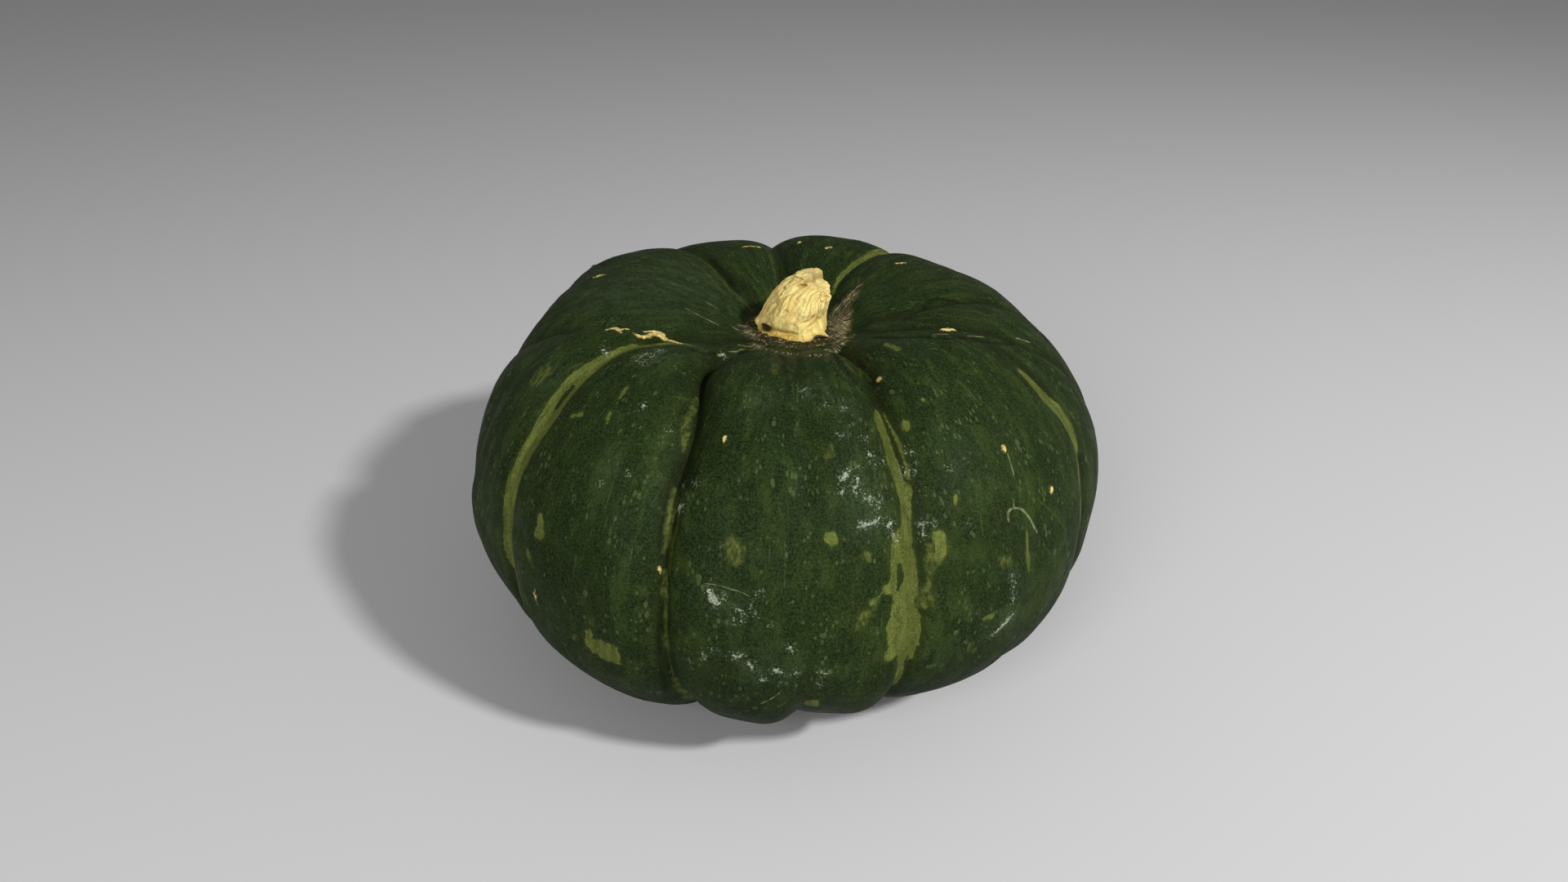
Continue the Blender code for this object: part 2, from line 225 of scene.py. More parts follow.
# ---- markings --------------------------------------------------------------
# Each line is a run of (lobe, latitude in degrees, half width in millimetres).
MARKS = {
    "pale": (
        ((5.417, 67.0, 0.5), (5.250, 64.5, 0.9), (5.117, 60.3, 1.2), (5.017, 56.9, 1.4), (5.002, 53.6, 1.6),
         (5.006, 50.9, 1.9), (5.004, 48.7, 2.3), (4.994, 44.6, 3.0), (5.005, 40.6, 3.3), (5.020, 36.5, 3.5),
         (5.015, 32.4, 2.9), (5.000, 28.0, 2.7), (4.992, 24.2, 2.5), (4.987, 20.2, 2.8), (4.988, 16.5, 2.8),
         (4.993, 12.0, 2.4), (4.989, 8.0, 2.3), (5.000, 3.2, 2.1), (5.037, 1.2, 1.6), (5.054, -1.1, 1.0),
         (5.050, -7.0, 0.5),),
        ((5.473, 45.9, 0.4), (5.465, 47.2, 0.7), (5.464, 48.2, 0.4),),
        ((5.496, 40.6, 0.2), (5.484, 41.7, 0.6), (5.482, 42.5, 0.4),),
        ((5.225, 38.9, 0.6), (5.285, 40.0, 0.7),),
        ((8.287, 0.9, 0.6), (8.321, 0.8, 0.9),),
        ((8.207, 46.0, 0.5),),
        ((8.173, 27.6, 0.3), (8.168, 26.8, 0.5), (8.165, 25.9, 0.3),),
        ((8.942, 42.3, 1.2), (8.937, 39.0, 1.8), (8.938, 35.3, 2.5), (8.978, 31.4, 2.8), (8.996, 26.6, 2.8),
         (9.000, 23.1, 2.1), (8.973, 20.3, 1.4), (8.942, 18.3, 0.7), (8.905, 14.6, 0.5),),
        ((8.950, 12.1, 0.7), (8.933, 10.1, 1.6), (8.933, 6.7, 0.7),),
        ((0.933, 54.8, 1.2), (1.017, 54.6, 1.6), (1.011, 60.9, 1.4), (1.035, 65.5, 0.9), (1.056, 69.4, 0.8),
         (1.043, 72.7, 0.6), (0.952, 76.6, 0.7),),
        ((8.477, 16.4, 0.3), (8.477, 13.3, 0.6), (8.483, 10.6, 0.9), (8.495, 7.2, 0.4),),
        ((8.363, 64.1, 0.8), (8.343, 60.1, 0.9),),
        ((6.474, 25.2, 0.4), (6.497, 24.8, 0.5), (6.520, 24.0, 0.4), (6.537, 22.8, 0.3),),
        ((8.014, 48.5, 0.3), (8.017, 45.9, 0.4), (8.022, 43.5, 0.5), (8.026, 41.3, 0.5), (8.027, 39.4, 0.5),
         (8.026, 37.5, 0.5), (8.026, 35.5, 0.5),),
    ),
    "olive": (
        ((5.955, 54.8, 0.7), (5.948, 51.4, 0.8), (5.949, 48.2, 0.7), (5.956, 45.9, 0.6), (5.961, 43.5, 0.6),
         (5.962, 41.2, 0.3),),
        ((5.973, 33.4, 0.4), (5.983, 31.7, 0.8), (5.986, 29.7, 1.0), (5.993, 27.8, 1.1), (5.990, 25.6, 1.1),
         (5.988, 24.0, 0.9), (5.987, 22.0, 0.7), (5.984, 20.5, 0.3),),
        ((5.999, 16.6, 0.5), (6.014, 13.3, 0.9), (6.008, 9.7, 0.7), (6.003, 6.0, 0.5), (5.992, 2.0, 0.6),
         (5.991, -1.6, 0.5),),
        ((5.983, -14.2, 0.5), (5.981, -18.0, 0.7), (5.980, -22.9, 0.6), (5.968, -29.8, 0.5),),
        ((6.228, 16.2, 0.4), (6.249, 17.9, 0.7),),
        ((6.768, 62.6, 0.4), (6.761, 59.0, 0.6),),
        ((5.231, 10.7, 0.8), (5.261, 8.7, 1.1),),
        ((8.282, -9.7, 0.5), (8.240, -9.0, 0.5), (8.252, -6.3, 0.5),),
        ((5.065, 49.3, 0.7), (5.001, 52.4, 1.1),),
        ((4.726, 39.3, 2.7), (4.737, 41.2, 1.8),),
        ((5.918, 47.8, 0.5), (5.935, 44.7, 0.5), (5.947, 42.1, 0.3),),
    ),
    "thinpale": (
        ((6.050, 30.0, 0.6), (6.071, 26.8, 0.6), (6.064, 25.2, 0.8), (6.047, 23.6, 0.8), (6.043, 21.1, 0.8),
         (6.036, 18.6, 0.8), (6.034, 16.6, 0.4),),
        ((6.008, 10.6, 0.3), (6.003, 6.0, 0.3), (5.999, 2.0, 0.3), (5.993, -2.2, 0.2), (5.991, -5.6, 0.2),
         (5.987, -10.3, 0.2), (5.983, -15.1, 0.3), (5.982, -21.0, 0.3), (5.975, -28.0, 0.3),),
        ((3.084, 60.7, 0.5), (3.037, 61.2, 0.7), (3.027, 64.1, 0.7), (3.042, 68.5, 0.7), (3.065, 71.7, 0.7),
         (3.110, 75.0, 0.7), (3.123, 76.9, 0.6), (3.108, 78.3, 0.6), (3.087, 79.8, 0.4),),
        ((3.131, 65.1, 0.5), (3.115, 67.3, 0.6), (3.135, 70.1, 0.6), (3.166, 72.9, 0.5), (3.214, 75.5, 0.5),),
        ((2.146, 63.4, 0.5), (2.168, 68.0, 0.7), (2.211, 73.2, 0.4),),
        ((7.655, 63.8, 0.7), (8.086, 71.0, 0.4), (8.032, 68.7, 0.7), (7.883, 59.2, 0.7),),
        ((7.678, 63.1, 0.5), (7.733, 59.3, 0.7), (7.847, 57.8, 0.5),),
        ((8.445, 48.0, 0.3), (8.474, 45.6, 0.4), (8.477, 42.2, 0.3),),
        ((5.754, 48.8, 0.2), (5.794, 50.1, 0.2), (5.847, 51.5, 0.3), (5.915, 52.8, 0.2),),
        ((6.985, 57.8, 0.1), (6.951, 54.4, 0.2), (6.944, 50.8, 0.2),),
        ((4.896, 47.9, 0.3), (4.873, 45.5, 0.4), (4.874, 43.5, 0.3),),
        ((8.565, 11.6, 0.3), (8.591, 9.6, 0.3), (8.621, 7.5, 0.3),),
        ((8.552, 20.7, 0.2), (8.636, 16.1, 0.3), (8.728, 10.5, 0.3),),
        ((8.990, 18.3, 0.5), (8.931, 16.7, 0.5), (8.902, 14.2, 0.3),),
        ((8.225, 23.9, 0.1), (8.258, 23.1, 0.2), (8.259, 21.2, 0.3), (8.257, 19.0, 0.2),),
        ((4.564, 43.4, 0.3), (4.577, 40.0, 0.5), (4.517, 35.6, 0.3),),
    ),
    "thincream": (
        ((8.382, 19.5, 0.3), (8.383, 21.0, 0.4), (8.403, 21.4, 0.3), (8.435, 21.0, 0.2), (8.457, 20.5, 0.3),
         (8.481, 19.2, 0.3), (8.503, 17.5, 0.3), (8.518, 15.7, 0.3), (8.534, 14.3, 0.2),),
        ((8.417, 21.4, 0.3), (8.426, 22.8, 0.2),),
        ((6.319, 16.6, 0.1), (6.385, 16.5, 0.1), (6.488, 15.9, 0.2), (6.547, 15.5, 0.1), (6.606, 14.6, 0.1),),
        ((5.517, 77.0, 0.4), (5.483, 78.7, 0.4), (5.383, 80.0, 0.3),),
        ((5.643, 74.4, 0.2), (5.833, 76.1, 0.2), (5.850, 77.6, 0.1),),
        ((5.699, 71.8, 0.5), (5.688, 73.0, 0.4),),
        ((7.550, 71.0, 0.4), (7.883, 76.2, 0.7), (8.175, 76.8, 0.7), (8.333, 76.7, 0.6), (8.483, 76.7, 0.3),),
        ((8.472, 30.9, 0.2), (8.468, 28.7, 0.2), (8.463, 26.9, 0.2),),
        ((8.850, 59.6, 0.3), (8.917, 59.2, 0.4), (8.950, 58.2, 0.3),),
        ((9.333, 55.3, 0.3), (9.600, 52.9, 0.4),),
        ((10.105, 46.4, 0.3), (10.132, 43.4, 0.3),),
        ((3.695, 70.8, 0.2), (3.750, 73.5, 0.3), (3.827, 76.1, 0.2),),
        ((3.484, 74.1, 0.2), (3.532, 76.4, 0.2),),
        ((5.280, 3.0, 0.3), (5.277, 1.1, 0.4), (5.271, -1.7, 0.3),),
        ((6.674, -16.1, 0.1), (6.749, -13.8, 0.2), (6.814, -11.1, 0.1),),
    ),
    "dust": (
        ((7.327, 34.9, 0.6), (7.371, 35.7, 0.8), (7.406, 36.0, 0.5),),
        ((7.323, 32.6, 0.7),),
        ((7.273, 33.3, 0.4),),
        ((7.474, 36.3, 0.5),),
        ((7.480, 34.9, 0.5), (7.480, 33.9, 0.5), (7.442, 33.0, 0.5),),
        ((7.444, 32.0, 0.6),),
        ((7.488, 32.7, 0.3), (7.520, 31.5, 0.4), (7.558, 30.1, 0.4),),
        ((7.576, 30.5, 0.7),),
        ((7.660, 30.8, 0.5),),
        ((7.648, 29.1, 0.5),),
        ((7.629, 27.2, 0.6),),
        ((7.433, 26.1, 0.4), (7.508, 26.2, 0.6), (7.570, 26.4, 0.5), (7.626, 26.5, 0.5),),
        ((7.725, 25.4, 0.6), (7.761, 25.7, 0.6),),
        ((8.001, 35.3, 0.7),),
        ((8.016, 34.7, 0.4), (8.012, 33.8, 0.4),),
        ((7.758, 23.5, 0.5), (7.804, 22.2, 0.5),),
        ((8.057, 37.5, 0.5),),
        ((8.043, 38.8, 0.3), (8.038, 37.9, 0.3),),
        ((8.047, 35.5, 0.3),),
        ((8.046, 34.4, 0.3),),
        ((8.053, 34.1, 0.2),),
        ((8.041, 33.5, 0.3),),
        ((7.799, 37.0, 0.4),),
        ((7.641, 41.8, 0.4),),
        ((8.024, 24.1, 0.3), (8.047, 24.0, 0.4), (8.071, 23.7, 0.3),),
        ((8.039, 23.9, 0.3), (8.033, 22.4, 0.4), (8.028, 20.9, 0.3),),
        ((6.342, 15.0, 0.8), (6.369, 13.8, 1.2), (6.396, 13.0, 0.8),),
        ((6.434, 13.9, 0.5),),
        ((6.536, 12.0, 0.5), (6.573, 11.3, 0.5),),
        ((6.632, 12.7, 0.4),),
        ((6.513, 9.9, 0.4),),
        ((6.556, 9.6, 0.4),),
        ((6.648, 11.1, 0.4),),
        ((6.654, 15.3, 0.4), (6.680, 15.2, 0.3),),
        ((6.754, 8.6, 0.4),),
        ((6.281, 2.0, 0.2), (6.288, 0.1, 0.3),),
        ((6.347, 3.3, 0.2), (6.362, 2.4, 0.2),),
        ((6.472, 1.8, 0.3), (6.510, 1.4, 0.6), (6.549, 1.7, 0.5),),
        ((6.597, -0.3, 0.7), (6.623, -1.6, 0.7),),
        ((6.689, -6.2, 0.7),),
        ((6.769, -2.3, 0.7), (6.814, -3.1, 0.7),),
        ((6.872, 4.0, 0.4), (6.883, 3.1, 0.6),),
        ((6.922, -3.6, 0.6),),
        ((7.120, -3.8, 0.5), (7.159, -4.5, 0.5),),
        ((7.129, -8.6, 0.5),),
        ((6.064, 29.7, 1.1), (6.096, 30.1, 0.5),),
        ((6.164, 34.5, 0.5),),
        ((8.344, -6.3, 0.5), (8.378, -4.9, 0.7), (8.409, -3.1, 0.8), (8.431, -1.9, 0.5),),
        ((8.388, 8.9, 0.2), (8.409, 5.3, 0.3), (8.418, 1.7, 0.2),),
        ((7.040, 54.6, 0.7),),
        ((7.230, 49.4, 0.5),),
        ((7.451, 48.6, 0.5),),
        ((7.355, 42.8, 0.4),),
        ((5.667, 46.2, 0.5), (5.656, 45.5, 0.4),),
        ((5.871, 43.9, 0.3),),
        ((6.026, 34.5, 0.0), (6.042, 34.3, 0.6),),
        ((4.948, 52.3, 0.5), (4.875, 52.0, 0.5),),
        ((7.655, 38.6, 0.5),),
        ((7.660, 36.7, 0.3),),
        ((8.057, 30.2, 0.3),),
        ((8.169, 32.4, 0.3),),
        ((8.201, 22.1, 0.3),),
        ((5.763, 33.6, 0.3),),
        ((5.633, 30.1, 0.3),),
        ((5.487, 25.9, 0.3),),
        ((5.707, 72.8, 0.7),),
        ((5.363, 58.8, 0.6),),
        ((6.183, -2.7, 0.2),),
        ((5.329, 59.2, 0.5), (5.363, 60.0, 0.4),),
        ((5.312, 53.8, 0.2), (5.297, 55.4, 0.2), (5.290, 57.0, 0.2),),
        ((5.394, 54.2, 0.2), (5.392, 55.9, 0.2), (5.384, 57.5, 0.2),),
        ((5.242, 55.4, 0.2), (5.380, 54.9, 0.1),),
        ((5.243, 57.2, 0.2), (5.439, 56.2, 0.1),),
    ),
    "bloom": (
        ((5.370, 55.0, 2.7), (5.389, 57.2, 2.9), (5.421, 59.2, 2.7),),
        ((5.571, 65.4, 2.0), (5.528, 68.8, 1.8),),
        ((5.616, 34.3, 3.2), (5.665, 33.8, 2.2),),
        ((4.775, 39.0, 5.9), (4.805, 41.0, 3.2),),
        ((4.367, 36.9, 6.0), (4.338, 42.1, 6.0),),
        ((8.336, -4.0, 4.3), (8.425, -2.8, 4.9),),
        ((8.405, 5.4, 3.2), (8.396, 9.1, 2.1),),
        ((7.493, 31.0, 4.4), (7.525, 26.6, 3.8),),
        ((6.568, 11.3, 3.9), (6.407, 13.5, 2.9),),
        ((6.640, -2.4, 5.7), (6.808, -2.8, 5.0),),
        ((7.171, 53.0, 4.9), (7.427, 48.3, 4.9),),
        ((3.703, 58.8, 13.9), (3.533, 64.4, 13.9), (3.384, 69.6, 13.9),),
        ((6.636, 52.4, 3.8),),
    ),
    "scar": (
        ((2.468, 62.4, 0.4), (2.353, 61.8, 0.4), (2.245, 61.5, 0.4),),
        ((1.454, 63.3, 0.4), (1.403, 62.6, 0.4),),
        ((0.699, 62.3, 0.4), (0.657, 61.0, 0.4),),
        ((4.517, 54.7, 0.3), (4.483, 55.7, 0.4), (4.483, 56.4, 0.8), (4.567, 56.6, 0.6), (4.650, 56.7, 0.3),),
        ((4.550, 57.2, 0.3), (4.517, 57.9, 0.4), (4.533, 58.4, 0.3),),
        ((4.676, 58.5, 0.1), (4.773, 58.9, 0.4), (4.830, 59.6, 0.5), (4.819, 60.8, 0.6), (4.750, 62.1, 0.8),
         (4.774, 62.9, 0.9), (4.867, 63.3, 0.8), (5.100, 64.2, 0.7), (5.200, 64.5, 0.5), (5.267, 65.1, 0.3),),
        ((4.650, 60.7, 0.3), (4.617, 61.9, 0.4), (4.600, 63.2, 0.6), (4.683, 63.7, 0.7), (4.835, 63.6, 0.4),),
    ),
    "wart": (
        ((3.544, 50.2, 0.6), (3.528, 51.5, 1.0), (3.518, 52.9, 0.6),),
        ((5.971, 17.8, 0.3), (5.975, 16.9, 0.5), (5.976, 16.3, 0.3),),
        ((6.328, 43.3, 0.7), (6.334, 42.6, 0.5),),
        ((9.567, 60.8, 0.9), (9.683, 59.8, 1.6), (9.667, 58.9, 0.9),),
        ((8.642, 20.6, 1.1),),
        ((8.064, 56.3, 1.0),),
        ((8.466, 32.3, 0.9), (8.462, 31.7, 0.7),),
        ((1.779, 60.0, 0.9),),
        ((5.676, 57.8, 0.3),),
        ((5.276, 2.1, 0.7), (5.275, 0.7, 0.5),),
    ),
    "fur": (
        ((0.100, 83.4, 1.6), (0.517, 80.8, 2.8), (0.654, 78.8, 2.7), (0.672, 77.4, 2.4), (0.673, 76.1, 1.9),
         (0.718, 73.6, 1.1), (0.738, 72.0, 0.5),),
        ((9.550, 82.3, 1.5), (10.983, 82.0, 2.7), (0.383, 80.1, 2.2), (0.482, 78.9, 1.5),),
        ((7.640, 71.9, 0.9), (8.183, 77.5, 1.3), (9.083, 80.2, 1.0), (10.217, 80.4, 0.7),),
        ((3.661, 79.3, 0.5), (3.700, 81.0, 1.0), (3.900, 81.9, 1.2),),
        ((5.033, 80.2, 0.6), (5.900, 80.6, 0.7), (6.681, 71.4, 0.6),),
        ((6.733, 69.7, 0.6), (6.875, 70.1, 0.7), (7.035, 73.0, 0.6),),
        ((7.197, 67.3, 0.7), (7.356, 65.6, 0.8), (7.501, 66.5, 0.6),),
        ((3.533, 80.0, 0.5), (3.550, 81.5, 0.7), (3.667, 82.8, 0.7),),
        ((8.191, 76.1, 0.6), (8.417, 75.8, 0.8), (10.317, 79.5, 0.5),),
    ),
    # dark: clefts given painted shade, and cut in as narrow grooves
    "dark": (
        ((5.964, 32.8, 0.2), (5.968, 28.7, 0.3), (5.968, 25.0, 0.3), (5.964, 21.5, 0.2),),
        ((5.988, 10.5, 0.2), (5.980, 7.0, 0.4), (5.971, 2.3, 0.5), (5.957, -4.1, 0.5), (5.940, -12.4, 0.6),
         (5.929, -20.5, 0.5),),
        ((7.640, 71.2, 0.5), (7.605, 62.5, 0.6), (7.639, 58.1, 0.5), (7.711, 54.4, 0.4),),
        ((2.953, 63.7, 0.5), (2.971, 67.8, 0.6), (3.003, 71.4, 0.9), (3.062, 75.6, 0.9),),
        ((5.521, 65.2, 0.5), (5.604, 67.9, 0.4), (5.677, 71.9, 0.3),),
        ((10.517, 69.9, 0.6), (0.055, 66.1, 0.4), (0.035, 60.9, 0.4), (10.883, 54.1, 0.6), (10.817, 46.6, 0.4),),
        ((8.567, 69.5, 0.5), (8.583, 64.0, 0.5), (8.733, 60.5, 0.5), (8.878, 56.6, 0.5), (9.183, 53.0, 0.5),
         (9.883, 46.9, 0.3),),
        ((5.920, 68.9, 0.4), (5.983, 66.2, 0.8), (6.011, 60.1, 0.8), (5.998, 55.0, 0.3), (5.995, 51.0, 0.3),
         (5.996, 46.6, 0.3), (5.996, 42.5, 0.3), (5.991, 38.2, 0.3), (5.984, 34.5, 0.4),),
        ((6.844, 67.3, 0.8), (6.866, 61.7, 0.4), (6.872, 57.2, 0.2), (6.870, 53.3, 0.1),),
    ),
}

# Each outline is closed: (lobe, latitude in degrees) round its edge.
OUTLINES = {
    "pale": (
        ((7.915, 48.9), (7.842, 47.1), (7.848, 45.0), (7.858, 42.8), (7.864, 40.3), (7.842, 37.9), (7.854, 36.2),
         (7.867, 33.9), (7.875, 31.7), (7.888, 29.5), (7.876, 27.4), (7.868, 25.3), (7.825, 24.2), (7.758, 23.4),
         (7.738, 21.4), (7.718, 19.8), (7.736, 20.5), (7.719, 18.2), (7.710, 16.1), (7.716, 14.6), (7.649, 14.3),
         (7.607, 13.8), (7.614, 13.0), (7.674, 12.9), (7.717, 12.3), (7.743, 11.7), (7.740, 9.5), (7.740, 7.3),
         (7.705, 6.4), (7.685, 5.0), (7.714, 4.1), (7.713, 2.3), (7.743, 0.9), (7.713, -0.9), (7.711, -3.0),
         (7.732, -4.3), (7.772, -4.3), (7.814, -4.4), (7.839, -2.9), (7.853, -2.9), (7.877, -6.1), (7.883, -10.2),
         (7.932, -15.7), (7.933, -19.5), (7.923, -22.0), (7.917, -20.3), (8.016, -22.8), (8.012, -19.0),
         (8.011, -15.7), (8.005, -11.3), (7.985, -7.6), (8.002, -5.9), (8.011, -5.1), (8.015, -7.3), (8.025, -8.0),
         (8.028, -6.7), (8.025, -4.7), (8.028, -2.4), (8.029, 1.0), (8.028, 4.0), (8.021, 6.1), (8.011, 7.2),
         (8.006, 8.9), (8.009, 10.0), (8.009, 11.6), (8.010, 13.7), (8.007, 15.8), (8.001, 18.1), (7.989, 20.2),
         (8.003, 16.8), (7.994, 19.9), (7.997, 22.4), (8.000, 24.1), (8.008, 26.0), (8.011, 27.8), (8.013, 29.4),
         (8.019, 29.9), (8.025, 31.1), (8.031, 32.7), (8.032, 34.2), (8.025, 35.6), (8.024, 36.5), (8.018, 36.2),
         (8.018, 34.6), (8.016, 33.3), (8.013, 32.1), (8.006, 31.1), (8.002, 31.2), (7.998, 32.3), (8.004, 34.1),
         (8.005, 35.7), (8.002, 37.4), (7.993, 39.4), (7.994, 41.1), (7.992, 43.2), (7.995, 46.0), (7.985, 47.9),
         (7.958, 49.2),),
        ((7.614, 12.4), (7.567, 12.6), (7.509, 11.7), (7.528, 10.8), (7.558, 10.3), (7.569, 9.3), (7.589, 9.5),
         (7.603, 11.3), (7.621, 12.0),),
        ((7.134, 26.3), (7.150, 26.6), (7.170, 26.1), (7.205, 26.1), (7.239, 25.7), (7.249, 25.0), (7.273, 24.4),
         (7.257, 23.4), (7.230, 23.2), (7.214, 22.6), (7.181, 23.5), (7.135, 23.6), (7.129, 24.1), (7.144, 24.8),),
        ((8.058, 43.7), (8.074, 44.1), (8.090, 43.9), (8.100, 43.1), (8.097, 42.3), (8.076, 41.8), (8.061, 42.0),
         (8.054, 42.8),),
        ((8.087, 22.4), (8.107, 21.7), (8.112, 19.7), (8.114, 18.0), (8.101, 16.6), (8.083, 16.1), (8.067, 16.5),
         (8.061, 17.8), (8.070, 19.0), (8.068, 20.3), (8.057, 21.2), (8.064, 22.0),),
        ((7.432, 6.5), (7.447, 6.9), (7.461, 6.2), (7.438, 5.7),),
        ((5.598, -0.6), (5.623, 0.8), (5.647, 0.7), (5.649, -0.8), (5.639, -2.4), (5.676, -2.0), (5.697, -1.2),
         (5.713, -1.3), (5.730, -2.2), (5.748, -1.5), (5.771, -2.1), (5.771, -3.9), (5.778, -5.6), (5.762, -6.4),
         (5.777, -8.7), (5.739, -9.3), (5.721, -8.8), (5.693, -9.5), (5.681, -8.6), (5.655, -8.8), (5.642, -7.8),
         (5.618, -7.8), (5.608, -6.6), (5.594, -6.0), (5.589, -4.4), (5.601, -2.5),),
        ((5.290, 20.7), (5.318, 19.8), (5.339, 18.9), (5.337, 17.2), (5.358, 16.9), (5.334, 14.8), (5.307, 14.8),
         (5.279, 15.0), (5.267, 15.9), (5.288, 17.3), (5.284, 18.9),),
        ((7.025, -20.5), (7.041, -16.9), (7.097, -17.0), (7.149, -16.4), (7.184, -19.9), (7.156, -22.3),
         (7.081, -22.1),),
    ),
    "gap": (
        ((7.790, 18.1), (7.823, 18.0), (7.849, 17.0), (7.854, 15.2), (7.833, 13.9), (7.820, 12.4), (7.807, 12.3),
         (7.786, 13.4), (7.780, 15.4), (7.781, 16.9),),
        ((7.994, 7.3), (7.996, 9.0), (8.008, 10.2), (8.011, 9.2), (8.006, 7.8),),
        ((4.995, 43.5), (5.026, 43.5), (5.027, 41.2), (5.039, 39.4), (5.036, 37.6), (4.998, 37.7), (4.991, 39.5),
         (4.984, 41.6),),
    ),
    "olive": (
        ((8.009, 11.6), (8.028, 11.3), (8.049, 10.9), (8.075, 10.0), (8.072, 8.0), (8.065, 6.8), (8.048, 7.5),
         (8.036, 7.0), (8.024, 6.7), (8.011, 7.2), (8.006, 8.9),),
        ((8.096, 22.2), (8.109, 21.5), (8.112, 19.5), (8.114, 17.8), (8.101, 16.5), (8.078, 15.7), (8.064, 14.5),
         (8.034, 14.8), (8.035, 17.1), (8.045, 18.8), (8.063, 19.1), (8.078, 20.4), (8.071, 21.4), (8.086, 22.1),),
        ((8.117, 19.3), (8.115, 17.6), (8.095, 16.5), (8.065, 16.4), (8.062, 14.9), (8.049, 13.8), (8.049, 11.4),
         (8.041, 11.3), (8.032, 13.6), (8.037, 15.4), (8.032, 17.5), (8.038, 19.1), (8.054, 20.2),),
        ((7.457, 21.2), (7.503, 21.4), (7.543, 21.1), (7.548, 20.3), (7.517, 19.4), (7.483, 19.5), (7.462, 20.4),),
        ((7.409, 6.3), (7.456, 5.9), (7.477, 6.7), (7.521, 7.9), (7.548, 9.2), (7.529, 10.0), (7.477, 9.7),
         (7.422, 8.4),),
        ((7.221, 41.3), (7.256, 41.4), (7.277, 40.2), (7.264, 39.4), (7.195, 39.0), (7.174, 39.6), (7.222, 40.1),),
        ((6.483, 26.2), (6.535, 25.1), (6.575, 23.0), (6.555, 20.8), (6.491, 20.1), (6.457, 21.8), (6.443, 24.3),),
        ((5.498, -5.1), (5.529, -3.7), (5.548, -4.3), (5.535, -6.1), (5.504, -6.9),),
        ((8.321, 13.3), (8.376, 12.9), (8.402, 10.4), (8.345, 10.6),),
    ),
}

# ---- how finely things are made ---------------------------------------------
SKIN_COLUMNS = 360
SKIN_ROWS = 150
FINER = 3                   # splits each way where small marks and scars need it
STALK_COLUMNS = 288
STALK_ROWS = 150


def lumps(p, size, seed):
    """Smooth random field from -1 to 1 with features of about this size."""
    table = np.random.RandomState(seed).uniform(-1.0, 1.0, (24, 24, 24))
    q = np.asarray(p, float) / size
    i = np.floor(q).astype(int)
    f = q - i
    f = f * f * (3 - 2 * f)
    i %= 24
    j = (i + 1) % 24
    out = 0.0
    for a in (0, 1):
        wa = f[:, 0] if a else 1 - f[:, 0]
        ia = (j if a else i)[:, 0]
        for b in (0, 1):
            wb = f[:, 1] if b else 1 - f[:, 1]
            ib = (j if b else i)[:, 1]
            for c in (0, 1):
                wc = f[:, 2] if c else 1 - f[:, 2]
                ic = (j if c else i)[:, 2]
                out = out + wa * wb * wc * table[ia, ib, ic]
    return out


def crease_azimuths(deg):
    az = np.array([flowing(deg, AZIMUTH_STATIONS, (c[4], c[4], c[3], c[2], c[1], c[0], c[0])) for c in CREASES])
    return np.concatenate([az, az[:1] + 360.0])


def azimuth_of(lobe, lat):
    az = crease_azimuths(np.degrees(lat))
    i = np.floor(lobe).astype(int) % LOBES
    s = lobe - np.floor(lobe)
    a0 = np.take_along_axis(az, i[None], 0)[0]
    a1 = np.take_along_axis(az, i[None] + 1, 0)[0]
    return a0 + (a1 - a0) * s, (a1 - a0) * np.minimum(s, 1 - s)


def arc_of(lat):
    fine = np.linspace(-math.pi / 2, math.pi / 2, 1801)
    r, z = profile(fine)
    length = np.concatenate([[0.0], np.cumsum(np.hypot(np.diff(r), np.diff(z)))])
    return np.interp(lat, fine, length) * BELLY_RADIUS


def on_skin(lobe, lat):
    return np.stack(skin(lobe, lat), -1)


def facing(lobe, lat):
    """Outward unit normals of the skin."""
    h = 2e-3
    u = on_skin(lobe + h, lat) - on_skin(lobe - h, lat)
    v = on_skin(lobe, np.minimum(lat + h, 1.5706)) - on_skin(lobe, np.maximum(lat - h, -1.5706))
    n = np.cross(u, v)
    ln = np.linalg.norm(n, axis=1, keepdims=True)
    pole = np.where(np.asarray(lat)[:, None] > 0, 1.0, -1.0) * np.array([[0.0, 0.0, 1.0]])
    return np.where(ln > 1e-12, n / np.maximum(ln, 1e-12), pole)


def run_points(run, gap=0.0006):
    """A marking's run as closely spaced lobe, latitude and half width."""
    row = np.array(run, float)
    lobe, deg, half = row[:, 0].copy(), row[:, 1], row[:, 2]
    for k in range(1, len(lobe)):
        while lobe[k] - lobe[k - 1] > LOBES / 2:
            lobe[k] -= LOBES
        while lobe[k] - lobe[k - 1] < -LOBES / 2:
            lobe[k] += LOBES
    if len(row) == 1:
        lobe = np.array([lobe[0], lobe[0]])
        deg = np.array([deg[0], deg[0] + 0.02])
        half = np.array([half[0], half[0]])
    p = on_skin(lobe, np.radians(deg))
    along = np.concatenate([[0.0], np.cumsum(np.linalg.norm(np.diff(p, axis=0), axis=1) + 1e-9)])
    n = max(2, int(along[-1] / gap) + 1)
    t = np.linspace(0.0, along[-1], n)
    if len(row) > 3:
        return flowing(t, along, lobe), flowing(t, along, deg), np.interp(t, along, half)
    return np.interp(t, along, lobe), np.interp(t, along, deg), np.interp(t, along, half)


